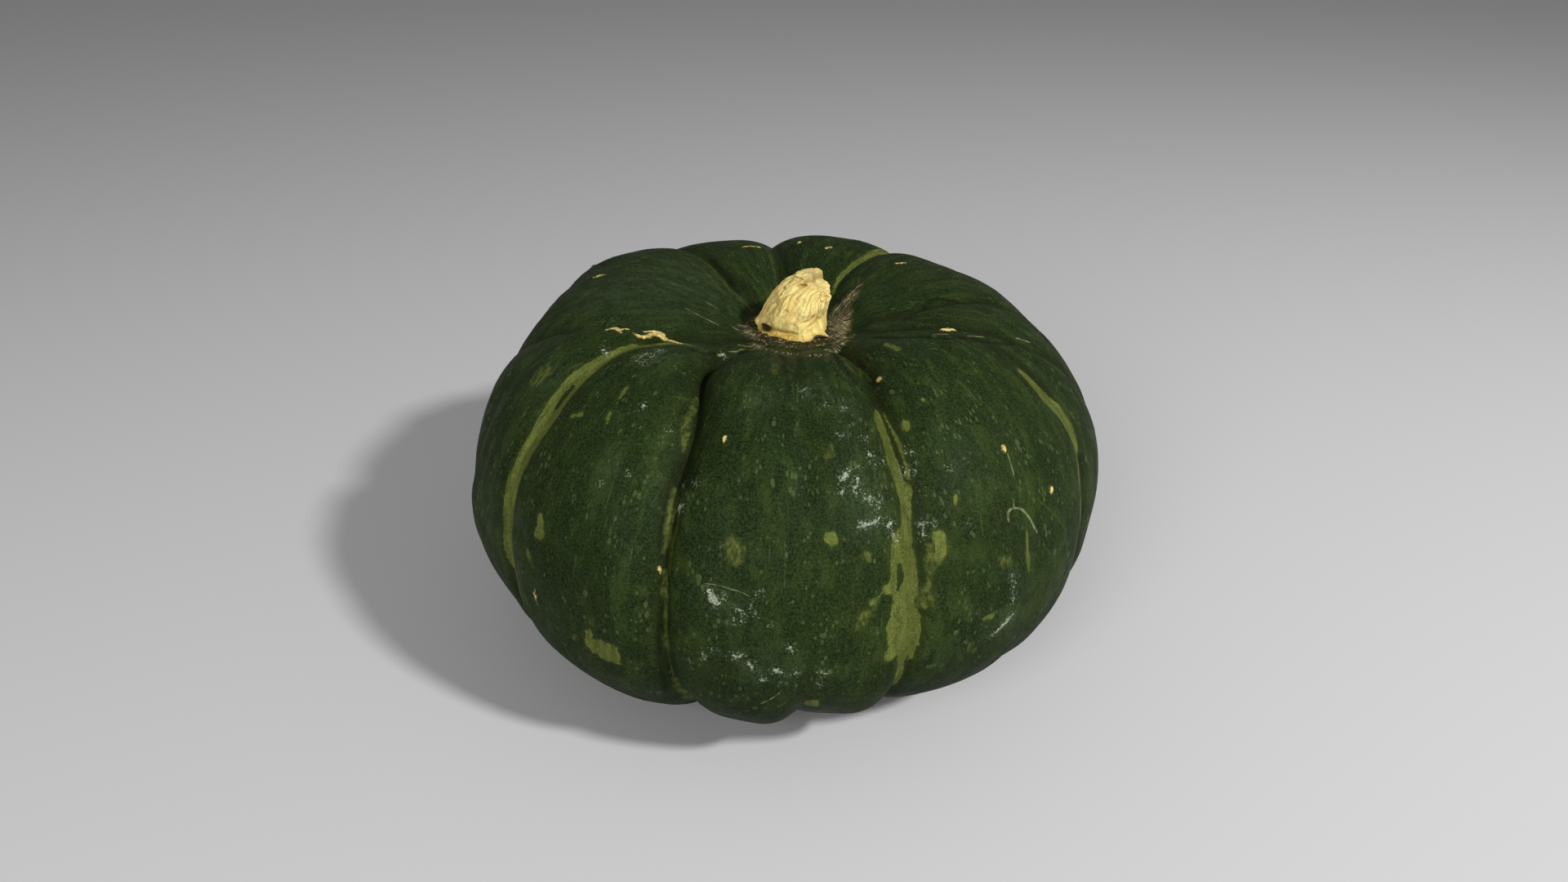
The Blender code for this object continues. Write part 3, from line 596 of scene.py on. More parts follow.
class Runs:
    """Markings of one kind, placed on the skin."""

    def __init__(self, runs):
        self.lines = []
        for run in runs:
            lobe, deg, half = run_points(run)
            p = on_skin(lobe, np.radians(deg))
            p[:, 2] = np.maximum(p[:, 2], 0.0)
            self.lines.append((p, half / 1000.0))

    def near(self, points, reach):
        """For each line: which points lie near it, their distance to it, the nearest
        place along it and the nearest place's half width."""
        for p, half in self.lines:
            room = half.max() + reach
            lo, hi = p.min(0) - room, p.max(0) + room
            k = np.nonzero(((points > lo) & (points < hi)).all(1))[0]
            if not len(k):
                continue
            a, b = p[:-1], p[1:]
            ab = b - a
            best = np.full(len(k), 9.0)
            spot = np.zeros((len(k), 3))
            width = np.zeros(len(k))
            way = np.zeros((len(k), 3))
            over = np.zeros(len(k))
            for start in range(0, len(k), 4000):
                part = slice(start, start + 4000)
                q = points[k[part]]
                t = ((q[:, None] - a[None]) * ab[None]).sum(-1) / np.maximum((ab * ab).sum(-1), 1e-18)[None]
                tc = np.clip(t, 0.0, 1.0)
                c = a[None] + tc[..., None] * ab[None]
                d = np.linalg.norm(q[:, None] - c, axis=-1)
                m = d.argmin(1)
                r = np.arange(len(q))
                best[part] = d[r, m]
                spot[part] = c[r, m]
                width[part] = half[m] + (half[m + 1] - half[m]) * tc[r, m]
                way[part] = ab[m]
                tt = t[r, m] * np.linalg.norm(ab[m], axis=1)
                lm = np.linalg.norm(ab[m], axis=1)
                over[part] = np.where(m == 0, np.maximum(-tt, 0.0), 0.0) + np.where(m == len(a) - 1, np.maximum(tt - lm, 0.0), 0.0)
            yield k, best, spot, width, way, over

    def inside(self, points, reach=0.004):
        """How far inside the nearest marking each point is, in millimetres (less than 0 outside)."""
        out = np.full(len(points), -reach * 1000)
        for k, d, _, w, _, _ in self.near(points, reach):
            out[k] = np.maximum(out[k], (w - d) * 1000)
        return out

    def glow(self, points, soft=0.5):
        """Soft patches: 1 in the middle, fading to 0."""
        out = np.zeros(len(points))
        for k, d, _, w, _, _ in self.near(points, self_reach(self.lines)):
            out[k] = np.maximum(out[k], np.exp(-(d / (w * (0.6 + soft))) ** 2))
        return out


def self_reach(lines):
    return 2.0 * max(h.max() for _, h in lines)


def thin_lines(runs, points, normals):
    """Two layers of thin lines: signed distance across and half width, in
    millimetres, so a line keeps a clean edge between the mesh's points."""
    layers = [[np.full(len(points), 4.0), np.full(len(points), -0.6), np.full(len(points), 9.0), []] for _ in (0, 1)]
    for run in runs:
        one = Runs((run,))
        p = one.lines[0][0]
        pick = 0
        for n, layer in enumerate(layers):
            if not any(np.linalg.norm(p[:, None] - q[None], axis=-1).min() < 0.006 for q in layer[3]):
                pick = n
                break
        layer = layers[pick]
        layer[3].append(p)
        for k, d, spot, w, way, over in one.near(points, 0.005):
            side = np.cross(way, normals[k])
            side /= np.maximum(np.linalg.norm(side, axis=1, keepdims=True), 1e-12)
            s = ((points[k] - spot) * side).sum(1) * 1000
            s = np.where(np.abs(s) < 1e-3, 1e-3, s)
            s = np.sign(s) * np.maximum(np.abs(s), 0.0)
            hold = 1.0 - step(1.5, 2.4, np.abs(s))
            end = 1.0 - step(0.0, 0.0012, over)
            half = (w * 1000) * hold * end - 0.6 * (1 - hold * end)
            better = d * 1000 < layer[2][k]
            kk = k[better]
            layer[0][kk] = s[better]
            layer[1][kk] = half[better]
            layer[2][kk] = d[better] * 1000
    return layers


def flat_chart(az, lat, mid):
    """Millimetres round the fruit from azimuth mid, and up its side."""
    rho, _ = profile(lat)
    return np.stack([np.radians((az - mid + 180) % 360 - 180) * rho * BELLY_RADIUS * 1000, arc_of(lat) * 1000], -1)


def inside_outlines(outlines, az, lat, reach=4.0):
    """How far inside the nearest outline each point is, in millimetres."""
    out = np.full(len(az), -reach)
    for outline in outlines:
        edge = np.array(outline, float)
        edge_az, _ = azimuth_of(edge[:, 0] % LOBES, np.radians(edge[:, 1]))
        mid = edge_az[0]
        e = flat_chart(edge_az, np.radians(edge[:, 1]), mid)
        k = np.nonzero(np.abs((az - mid + 180) % 360 - 180) < 60)[0]
        q = flat_chart(az[k], lat[k], mid)
        near = ((q > e.min(0) - reach) & (q < e.max(0) + reach)).all(1)
        k, q = k[near], q[near]
        a, b = e, np.roll(e, -1, 0)
        ab = b - a
        t = np.clip(((q[:, None] - a[None]) * ab[None]).sum(-1) / np.maximum((ab * ab).sum(-1), 1e-12), 0, 1)
        d = np.linalg.norm(q[:, None] - (a[None] + t[..., None] * ab[None]), axis=-1).min(1)
        crosses = (a[None, :, 1] > q[:, None, 1]) != (b[None, :, 1] > q[:, None, 1])
        with np.errstate(divide="ignore", invalid="ignore"):
            at = a[:, 0] + (q[:, None, 1] - a[:, 1]) / (b[:, 1] - a[:, 1]) * ab[:, 0]
        odd = (crosses & (q[:, None, 0] < at)).sum(1) % 2 == 1
        out[k] = np.maximum(out[k], np.where(odd, d, -d))
    return out


def extra_marks():
    """Markings for the sides that face away, in the manner of the seen ones."""
    rnd = random.Random(41)
    pale, olive, dust, wart, thin = [], [], [], [], []
    # stripes that follow creases down the far side: crease, top, foot, half width
    for crease, top, foot, half, side in ((1.0, 60, -24, 2.3, 0.03), (3.0, 34, -30, 1.7, -0.04), (2.0, 8, -34, 2.1, 0.02),
                                          (0.0, 20, -28, 1.5, 0.03), (4.0, 18, -30, 1.3, 0.02)):
        n = 12
        run = []
        for k in range(n):
            t = k / (n - 1)
            swell = math.sin(math.pi * min(1.0, 0.08 + t * 0.98)) ** 0.5
            run.append((crease + side * math.sin(5 * t + crease) + rnd.uniform(-0.008, 0.008), top + (foot - top) * t,
                        half * swell * rnd.uniform(0.75, 1.25) + 0.2))
        pale.append(tuple(run))
        m = rnd.randrange(4, 9)
        olive.append(tuple((c + 0.05 * (1 if side > 0 else -1), d, h * 0.8) for c, d, h in run[m - 2:m + 2]))
    # stripes of the near side carry on under it
    for crease, top, foot, half in ((5.05, -8, -52, 0.9), (6.0, -22, -56, 0.8), (7.96, -36, -60, 1.2), (9.0, 6, -46, 1.2),
                                    (1.0, -26, -60, 1.1), (2.0, -34, -62, 1.0), (3.0, -32, -58, 0.9)):
        run = tuple((crease + rnd.uniform(-0.01, 0.01), top + (foot - top) * k / 7, half * math.sin(math.pi * (0.1 + 0.86 * k / 7)) + 0.2)
                    for k in range(8))
        (pale if half > 1.0 else olive).append(run)
    far = [(rnd.uniform(0.1, 4.4), rnd.uniform(-30, 52)) for _ in range(30)]
    for k, (lobe, deg) in enumerate(far):
        if abs(lobe - round(lobe)) < 0.12:
            lobe += 0.2
        if k < 9:
            r = rnd.uniform(1.0, 2.8)
            pale.append(((lobe, deg, r * 0.6), (lobe + rnd.uniform(-0.03, 0.03), deg - 1.6, r), (lobe + rnd.uniform(-0.05, 0.05), deg - 3.4, r * 0.7)))
        elif k < 14:
            olive.append(((lobe, deg, 1.2), (lobe + 0.03, deg - 2.5, 2.0)))
        elif k < 22:
            dust.append(((lobe, deg, rnd.uniform(0.3, 0.8)),))
            dust.append(((lobe + 0.03, deg + 1.0, rnd.uniform(0.3, 0.6)),))
        elif k < 26:
            wart.append(((lobe, deg, rnd.uniform(0.6, 1.0)),))
        else:
            turn = rnd.uniform(-0.12, 0.12)
            thin.append(tuple((lobe + turn * t, deg - 6 * t + 2 * math.sin(3 * t), 0.3) for t in (0, 0.35, 0.7, 1.0)))
    return pale, olive, dust, wart, thin


def skin_columns():
    belly = [c[3] for c in CREASES] + [CREASES[0][3] + 360.0]
    share = []
    for i in range(LOBES):
        mid = math.radians((belly[i] + belly[i + 1]) / 2)
        share.append((belly[i + 1] - belly[i]) * (1.0 - 0.32 * math.sin(mid)))
    total = sum(share)
    counts = [max(10, round(SKIN_COLUMNS * s / total)) for s in share]
    counts[counts.index(max(counts))] += SKIN_COLUMNS - sum(counts)
    cols = []
    for i, n in enumerate(counts):
        for k in range(n):
            s = k / n
            cols.append(i + s - 0.25 * math.sin(2 * math.pi * s) / (2 * math.pi))
    return np.array(cols + [float(LOBES)])


def skin_rows():
    fine = np.linspace(-math.pi / 2, math.pi / 2, 3601)
    r, z = profile(fine)
    deg = np.degrees(fine[1:] + fine[:-1]) / 2
    dense = 0.7 + 0.5 * step(-55, -15, deg) - 0.25 * step(75, 82, deg)
    length = np.concatenate([[0.0], np.cumsum(np.hypot(np.diff(r), np.diff(z)) * dense)])
    return np.interp(np.linspace(0.0, length[-1], SKIN_ROWS + 1), length, fine)


def skin_mesh(fine_spots):
    """Lattice of the rind: faces, and lobe and latitude of each point. Cells near
    the given spots are split FINER times each way; their neighbours take up the
    extra edge points, so the surface stays closed."""
    cols, rows = skin_columns(), skin_rows()
    nc, nr, k = len(cols) - 1, len(rows) - 1, FINER
    midc = (cols[1:] + cols[:-1]) / 2
    midr = (rows[1:] + rows[:-1]) / 2
    cc, rr = np.meshgrid(midc, midr, indexing="ij")
    centre = on_skin(cc.ravel(), rr.ravel())
    fine = np.zeros(len(centre), bool)
    for p, reach in fine_spots:
        lo, hi = p.min(0) - reach, p.max(0) + reach
        m = np.nonzero(((centre > lo) & (centre < hi)).all(1) & ~fine)[0]
        for start in range(0, len(m), 3000):
            q = m[start:start + 3000]
            d = np.linalg.norm(centre[q][:, None] - p[None], axis=-1).min(1)
            fine[q[d < reach]] = True
    hub = np.array([FRUIT_CENTRE[0] + CROWN_OFFSET, FRUIT_CENTRE[1]])
    far = np.linalg.norm(centre[:, :2] - hub, axis=1)
    fine |= (centre[:, 2] > 0.06) & (far < 0.0185) & (far > 0.0085)
    fine = fine.reshape(nc, nr)
    fine[:, 0] = False
    fine[:, -1] = False
    index, where, faces = {}, [], []

    def at(I, J):
        I %= nc * k
        if J == 0 or J == nr * k:
            I = 0
        key = I * 100000 + J
        n = index.get(key)
        if n is None:
            n = index[key] = len(where)
            where.append((I, J))
        return n

    for i in range(nc):
        left, right = (i - 1) % nc, (i + 1) % nc
        for j in range(nr):
            I, J = i * k, j * k
            if fine[i, j]:
                for a in range(k):
                    for b in range(k):
                        faces.append((at(I + a, J + b), at(I + a + 1, J + b), at(I + a + 1, J + b + 1), at(I + a, J + b + 1)))
                continue
            loop = [at(I, J)]
            if j and fine[i, j - 1]:
                loop += [at(I + a, J) for a in range(1, k)]
            if j:
                loop.append(at(I + k, J))
            if fine[right, j]:
                loop += [at(I + k, J + b) for b in range(1, k)]
            loop.append(at(I + k, J + k))
            if j < nr - 1:
                if fine[i, j + 1]:
                    loop += [at(I + a, J + k) for a in range(k - 1, 0, -1)]
                loop.append(at(I, J + k))
            if fine[left, j]:
                loop += [at(I, J + b) for b in range(k - 1, 0, -1)]
            faces.append(tuple(loop))
    w = np.array(where, float) / k
    lobe = np.interp(w[:, 0], np.arange(nc + 1), cols)
    lat = np.interp(w[:, 1], np.arange(nr + 1), rows)
    return faces, lobe, lat


def store(mesh, name, values):
    values = np.asarray(values, np.float32)
    if values.ndim == 2:
        mesh.attributes.new(name, "FLOAT_VECTOR", "POINT").data.foreach_set("vector", values.ravel())
    else:
        mesh.attributes.new(name, "FLOAT", "POINT").data.foreach_set("value", values)


def make_skin():
    pale2, olive2, dust2, wart2, thin2 = extra_marks()
    kinds = {
        "pale": Runs(tuple(MARKS["pale"]) + tuple(pale2)),
        "olive": Runs(tuple(MARKS["olive"]) + tuple(olive2)),
        "scar": Runs(MARKS["scar"]),
        "wart": Runs(tuple(MARKS["wart"]) + tuple(wart2)),
        "dust": Runs(tuple(MARKS["dust"]) + tuple(dust2)),
        "bloom": Runs(MARKS["bloom"]),
        "fur": Runs(MARKS["fur"]),
        "dark": Runs(MARKS["dark"]),
    }
    spots = []
    for kind in ("scar", "wart", "dust", "fur"):
        for p, half in kinds[kind].lines:
            spots.append((p, half.max() + 0.0011))
    for p, half in kinds["pale"].lines:
        if half.max() < 0.0014:
            spots.append((p, half.max() + 0.0009))
    for run in MARKS["thincream"]:
        spots.append((Runs((run,)).lines[0][0], 0.0012))
    faces, lobe, lat = skin_mesh(spots)
    base = on_skin(lobe, lat)
    out = facing(lobe, lat)
    deg = np.degrees(lat)
    az, off = azimuth_of(lobe, lat)
    rho = np.hypot(base[:, 0] - FRUIT_CENTRE[0], base[:, 1] - FRUIT_CENTRE[1])
    # distance to the nearest crease in millimetres, the mask for the painted shade in the valleys; kept off crease 7
    # below the shoulder
    crease = np.radians(off) * rho * 1000
    crease += 7.0 * (np.round(lobe) == 7) * (1 - step(50, 60, deg))
    hub = np.array([FRUIT_CENTRE[0] + CROWN_OFFSET, FRUIT_CENTRE[1]])
    far = np.linalg.norm(base[:, :2] - hub, axis=1)
    top = base[:, 2] > 0.06
    inside = {kind: kinds[kind].inside(base) for kind in ("pale", "olive", "scar", "wart", "dust", "fur", "dark")}
    for kind in ("pale", "olive"):
        inside[kind] = np.maximum(inside[kind], inside_outlines(OUTLINES[kind], az, lat))
    inside["pale"] = np.minimum(inside["pale"], -inside_outlines(OUTLINES["gap"], az, lat))
    bloom = kinds["bloom"].glow(base)
    pale_lines = thin_lines(tuple(MARKS["thinpale"]) + tuple(thin2), base, out)
    cream_lines = thin_lines(MARKS["thincream"], base, out)

    # relief
    clear = step(0.016, 0.030, far)
    d = 0.00030 * lumps(base, 0.017, 1) * clear
    d += 0.00011 * lumps(base, 0.0062, 2) * clear
    d += 0.00005 * lumps(base, 0.0026, 3)
    # warts and scars stand up, pale stripes lie slightly low, and the clefts that carry painted shade are cut in as
    # narrow grooves
    d += 0.00055 * step(-0.5, 0.9, inside["wart"]) * (1 + 0.35 * lumps(base, 0.0009, 5))
    d += 0.00022 * step(-0.2, 0.5, inside["scar"]) * (1 + 0.6 * lumps(base, 0.0011, 6))
    d -= 0.00012 * step(-0.3, 0.8, inside["pale"])
    d -= 0.00040 * step(-0.9, 0.7, inside["dark"])
    d += 0.00008 * step(-0.1, 0.25, inside["dust"])
    for s, half, _, _ in cream_lines:
        d += 0.00012 * np.where(half > 0, np.exp(-(s / np.maximum(half, 0.05)) ** 2), 0.0)
    # corky ring that the stem grows out of, and the roughened patch beside it
    ring = np.where(top, np.exp(-((far - 0.0122) / 0.0022) ** 2), 0.0)
    lip = np.where(top, np.exp(-((far - 0.0098) / 0.0016) ** 2), 0.0)
    rough = 0.55 * lumps(base, 0.0016, 7) + 0.45 * lumps(base, 0.0008, 8)
    d += ring * (0.00035 + 0.00055 * rough) + lip * (0.00085 + 0.0004 * rough)
    d += step(-0.4, 0.8, inside["fur"]) * (0.00018 + 0.00042 * rough)
    # blossom scar underneath
    under = ~top
    scar = np.where(under, np.exp(-(rho / 0.0062) ** 4), 0.0)
    d += scar * (0.0006 + 0.0005 * rough)
    d += np.where(under, np.exp(-((rho - 0.0075) / 0.0012) ** 2), 0.0) * -0.0006
    # little pits
    pits = lumps(base, 0.0044, 9)
    d -= 0.00016 * step(0.62, 0.92, pits) * clear
    verts = base + out * d[:, None]
    verts[:, 2] = np.maximum(verts[:, 2], 0.0)

    mesh = bpy.data.meshes.new("rind_skin")
    mesh.from_pydata(verts.tolist(), [], faces)
    mesh.update()
    mesh.shade_smooth()
    for kind in ("pale", "olive", "scar", "wart", "dust", "fur", "dark"):
        store(mesh, kind, inside[kind])
    store(mesh, "bloom", bloom)
    store(mesh, "crease", np.minimum(crease, 20.0))
    store(mesh, "ring", ring + lip)
    store(mesh, "under", scar)
    for n, lines in (("p", pale_lines), ("c", cream_lines)):
        for m, (s, half, _, _) in enumerate(lines):
            store(mesh, "line_%s%d" % (n, m), s)
            store(mesh, "half_%s%d" % (n, m), half)
    ang = np.radians(az)
    # grain coordinates: even round the fruit, with heights along the meridian
    store(mesh, "grain", np.stack([np.cos(ang) * 0.08, np.sin(ang) * 0.08, arc_of(lat) * 1.0], -1))
    obj = bpy.data.objects.new("rind_skin", mesh)
    bpy.context.scene.collection.objects.link(obj)
    return obj


# ---- stem --------------------------------------------------------------------
# Local shape: angle in degrees, height share, stand-out in millimetres, width
# round the stem in degrees and width up it.
STALK_SHAPE = (
    (318.0, 0.02, 3.0, 9.0, 0.07), (292.0, -0.01, 1.9, 17.0, 0.10), (206.0, -0.01, 1.5, 13.0, 0.07), (218.0, -0.02, 1.2, 14.0, 0.07), (236.0, 0.0, -0.5, 16.0, 0.07), (184.0, 0.13, 1.3, 17.0, 0.10), (262.0, 0.03, 0.6, 34.0, 0.06),
    (300.0, 0.06, -0.6, 9.0, 0.09), (336.0, 0.30, -1.3, 20.0, 0.15), (352.0, 0.60, 0.8, 12.0, 0.07),
    (345.0, 0.47, -0.6, 12.0, 0.06), (342.0, 0.84, 1.3, 15.0, 0.07), (330.0, 0.72, 0.4, 10.0, 0.10),
    (30.0, 0.10, 0.8, 24.0, 0.12), (95.0, 0.08, 1.0, 28.0, 0.10), (140.0, 0.5, 0.6, 22.0, 0.2),
    (60.0, 0.6, -0.6, 18.0, 0.2), (110.0, 0.75, 0.7, 14.0, 0.12), (238.0, 0.56, 0.75, 13.0, 0.17),
    (250.0, 0.34, 0.55, 22.0, 0.09), (286.0, 0.58, 0.65, 17.0, 0.20), (284.0, 0.25, 0.35, 12.0, 0.08),
    (204.0, 0.27, -0.5, 14.0, 0.05), (312.0, 0.42, -0.5, 8.0, 0.12), (262.0, 0.70, -0.4, 8.0, 0.12),
)
# Furrows: angle at the foot, depth in millimetres, half width in degrees, and
# where up the stem each begins and ends.
STALK_FURROWS = ((215, 1.70, 4.2, 0.26, 1.05), (199, 0.60, 3.2, 0.30, 1.0), (231, 0.40, 2.4, 0.42, 0.90),
                 (258, 1.35, 4.0, 0.40, 1.05), (246, 0.42, 2.2, 0.32, 0.75), (272, 0.50, 2.6, 0.20, 0.85),
                 (284, 0.45, 2.0, 0.35, 0.80), (297, 0.70, 2.8, 0.26, 0.92), (309, 0.50, 2.4, 0.15, 0.75),
                 (322, 1.20, 4.6, 0.10, 0.62), (338, 0.60, 3.4, 0.40, 0.97), (356, 0.80, 4.4, 0.12, 0.98),
                 (16, 0.60, 5.0, 0.10, 0.98), (38, 0.75, 6.0, 0.10, 0.98), (63, 0.60, 5.0, 0.12, 0.98),
                 (88, 0.80, 6.0, 0.10, 0.98), (112, 0.60, 5.0, 0.14, 0.98), (137, 0.80, 6.0, 0.12, 0.98),
                 (161, 0.60, 5.0, 0.14, 0.98), (182, 0.50, 4.5, 0.30, 0.98))


STALK_LEVELS = (0, 0.06, 0.16, 0.3, 0.45, 0.6, 0.74, 0.86, 0.94, 1.0)
STALK_RADII = (9.74, 9.44, 9.52, 9.15, 8.85, 7.86, 7.05, 6.06, 5.01, 4.63)
STALK_DRIFT = (-0.34, -0.27, -0.40, -0.05, 1.1, 1.5, 2.0, 3.22, 4.6, 5.0)
# Creases on the side that faces the viewer: depth and half width in millimetres,
# how dark the painted shade in them is, then points as angle and height share.
STALK_CREASES = (
    (0.80, 0.40, 0.80, (217.5, 0.471), (211.5, 0.580), (214.3, 0.700), (208.2, 0.793), (195.5, 0.857), (187.8, 0.913), (192.5, 0.980)),
    (0.60, 0.30, 0.70, (192.5, 0.980), (213.5, 0.985), (234.8, 0.985)),
    (1.30, 0.42, 1.00, (233.3, 0.888), (239.6, 0.928), (242.2, 0.970), (250.4, 0.993)),
    (0.55, 0.30, 0.50, (274.0, 0.602), (275.5, 0.707), (274.4, 0.827), (270.7, 0.934), (278.9, 0.990)),
    (0.80, 0.38, 0.65, (325.1, 0.217), (315.3, 0.436), (321.5, 0.571), (318.6, 0.812), (300.7, 0.970)),
    (0.70, 0.36, 0.60, (283.6, 0.318), (296.5, 0.339), (306.9, 0.373), (314.0, 0.446)),
    (0.60, 0.34, 0.60, (296.5, 0.234), (318.1, 0.267), (342.6, 0.244)),
    (0.55, 0.34, 0.50, (195.6, 0.492), (191.2, 0.583), (189.7, 0.695), (184.0, 0.789), (179.2, 0.866)),
    (0.40, 0.34, 0.45, (243.0, 0.544), (243.5, 0.649), (241.3, 0.759), (240.0, 0.865)),
    (0.40, 0.28, 0.45, (240.0, 0.451), (243.0, 0.531), (249.4, 0.478)),
    (1.0, 0.85, 0.72, (212.7, 0.125), (230.0, 0.140), (249.9, 0.128), (265.4, 0.110), (277.4, 0.096)),
    (0.45, 0.30, 0.45, (279.0, 0.470), (283.3, 0.602), (286.9, 0.768), (288.7, 0.918)),
    (0.80, 0.55, 0.75, (334.1, 0.777), (343.8, 0.712), (352.7, 0.650)),
    (0.45, 0.30, 0.45, (345.3, 0.230), (335.0, 0.420), (335.9, 0.573)),
    (0.40, 0.30, 0.35, (199.5, 0.305), (195.4, 0.418), (194.5, 0.498)),
    (0.45, 0.30, 0.40, (317.0, 0.940), (326.5, 0.897), (333.5, 0.830)),
)
STALK_HOLLOW = (212.0, 0.125, 12.5, 0.062)    # angle, height, half widths


def apart(a, b):
    return (a - b + 180.0) % 360.0 - 180.0


STALK_RIM = 0.955            # height of the cut's upper part


def cut_drop(x, y):
    """How much lower the cut lies, in millimetres: its front and right part was
    torn off below the rest, along a line from the front left to the back right."""
    s = (x + 3.0) * 0.79 - (y + 4.4) * 0.615
    return (1.5 + 1.0 * step(-1.0, 4.0, x)) * step(-0.25, 0.45, s) + 0.30 * np.maximum(s - 0.3, 0.0)


def stalk_creases(a, t):
    """Depth in millimetres and darkness of the painted shade along the drawn creases."""
    x = np.radians(apart(a, 270.0)) * 9.0
    y = t * STEM_HEIGHT * 1000
    deep, dark = np.zeros(len(x)), np.zeros(len(x))
    for depth, half, shade, *path in STALK_CREASES:
        e = np.array(path, float)
        e = np.stack([np.radians(apart(e[:, 0], 270.0)) * 9.0, e[:, 1] * STEM_HEIGHT * 1000], -1)
        p, q = e[:-1], e[1:]
        v = q - p
        best = np.full(len(x), 99.0)
        along = np.zeros(len(x))
        for k in range(len(p)):
            u = np.clip(((x - p[k, 0]) * v[k, 0] + (y - p[k, 1]) * v[k, 1]) / max((v[k] ** 2).sum(), 1e-9), 0, 1)
            d = np.hypot(x - p[k, 0] - u * v[k, 0], y - p[k, 1] - u * v[k, 1])
            along = np.where(d < best, (k + u) / len(p), along)
            best = np.minimum(best, d)
        ends = 0.35 + 0.65 * np.sin(np.pi * np.clip(along, 0.0, 1.0)) ** 0.5
        deep = np.maximum(deep, depth * ends * np.exp(-(best / half) ** 1.6))
        dark = np.maximum(dark, shade * ends * np.exp(-(best / (half * 0.85)) ** 2))
    return deep, dark


def stalk_side(a, t):
    """Stem's side: a in degrees, t from the foot (0) to the rim of the cut (1)."""
    w = np.radians(a)
    taper = np.interp(t, STALK_LEVELS, STALK_RADII)
    r = taper.copy()
    bend = 40.0 * step(0.40, 1.05, t) ** 1.5 + 4.0 * t
    turn = a - bend
    sway = 3.5 * np.sin(7.0 * t + a * 0.05)
    for c, deep, half, lo, hi in STALK_FURROWS:
        hold = step(lo - 0.07, lo + 0.07, t) * (1 - step(hi - 0.05, hi + 0.07, t))
        off = np.abs(apart(turn + sway, c)) / half
        seen = 1.0 - 0.45 * np.exp(-(apart(a, 268) / 62.0) ** 4)
        r -= deep * seen * hold * np.exp(-off ** 1.5) * (taper / 9.0)
    for c, tc, high, wa, wt in STALK_SHAPE:
        r += high * np.exp(-(apart(a, c) / wa) ** 2 - ((t - tc) / wt) ** 2)
    # hollow at the lower left
    r -= 1.5 * np.exp(-(apart(a, STALK_HOLLOW[0]) / STALK_HOLLOW[2]) ** 2 - ((t - STALK_HOLLOW[1]) / STALK_HOLLOW[3]) ** 2)
    r -= stalk_creases(a, t)[0]
    # gap under the flared tip
    lift = 0.0011 * np.exp(-(apart(a, 309) / 10.0) ** 2) * (1 - step(0.0, 0.12, t))
    cx = FRUIT_CENTRE[0] + CROWN_OFFSET + np.interp(t, STALK_LEVELS, STALK_DRIFT) / 1000
    cy = FRUIT_CENTRE[1] + 0.0012 * t ** 1.3
    z = seat_height() + STEM_GAP + STEM_HEIGHT * t * STALK_RIM + lift
    z -= cut_drop(4.9 * np.cos(w), 4.9 * np.sin(w)) / 1000 * np.clip((t - 0.45) / 0.55, 0.0, 1.0) ** 2
    p = np.stack([cx + r / 1000 * np.cos(w), cy + r / 1000 * np.sin(w), z + 0 * r], -1)
    # wrinkles and pores, longer up the stem than round it
    g = np.stack([np.cos(w) * 0.009, np.sin(w) * 0.009, t * 0.0062], -1)
    fold = (lumps(g, 0.0034, 20) * 0.00038 + lumps(g, 0.0019, 21) * 0.00026 + lumps(g, 0.0010, 22) * 0.00015
            + lumps(p, 0.0021, 23) * 0.00022 + lumps(p, 0.0010, 25) * 0.00012 + lumps(p, 0.0006, 24) * 0.00006)
    fold *= 0.45 + 0.55 * step(0.0, 0.2, t)
    n = np.stack([np.cos(w), np.sin(w), 0.25 + 0 * w], -1)
    return p + n * fold[:, None]


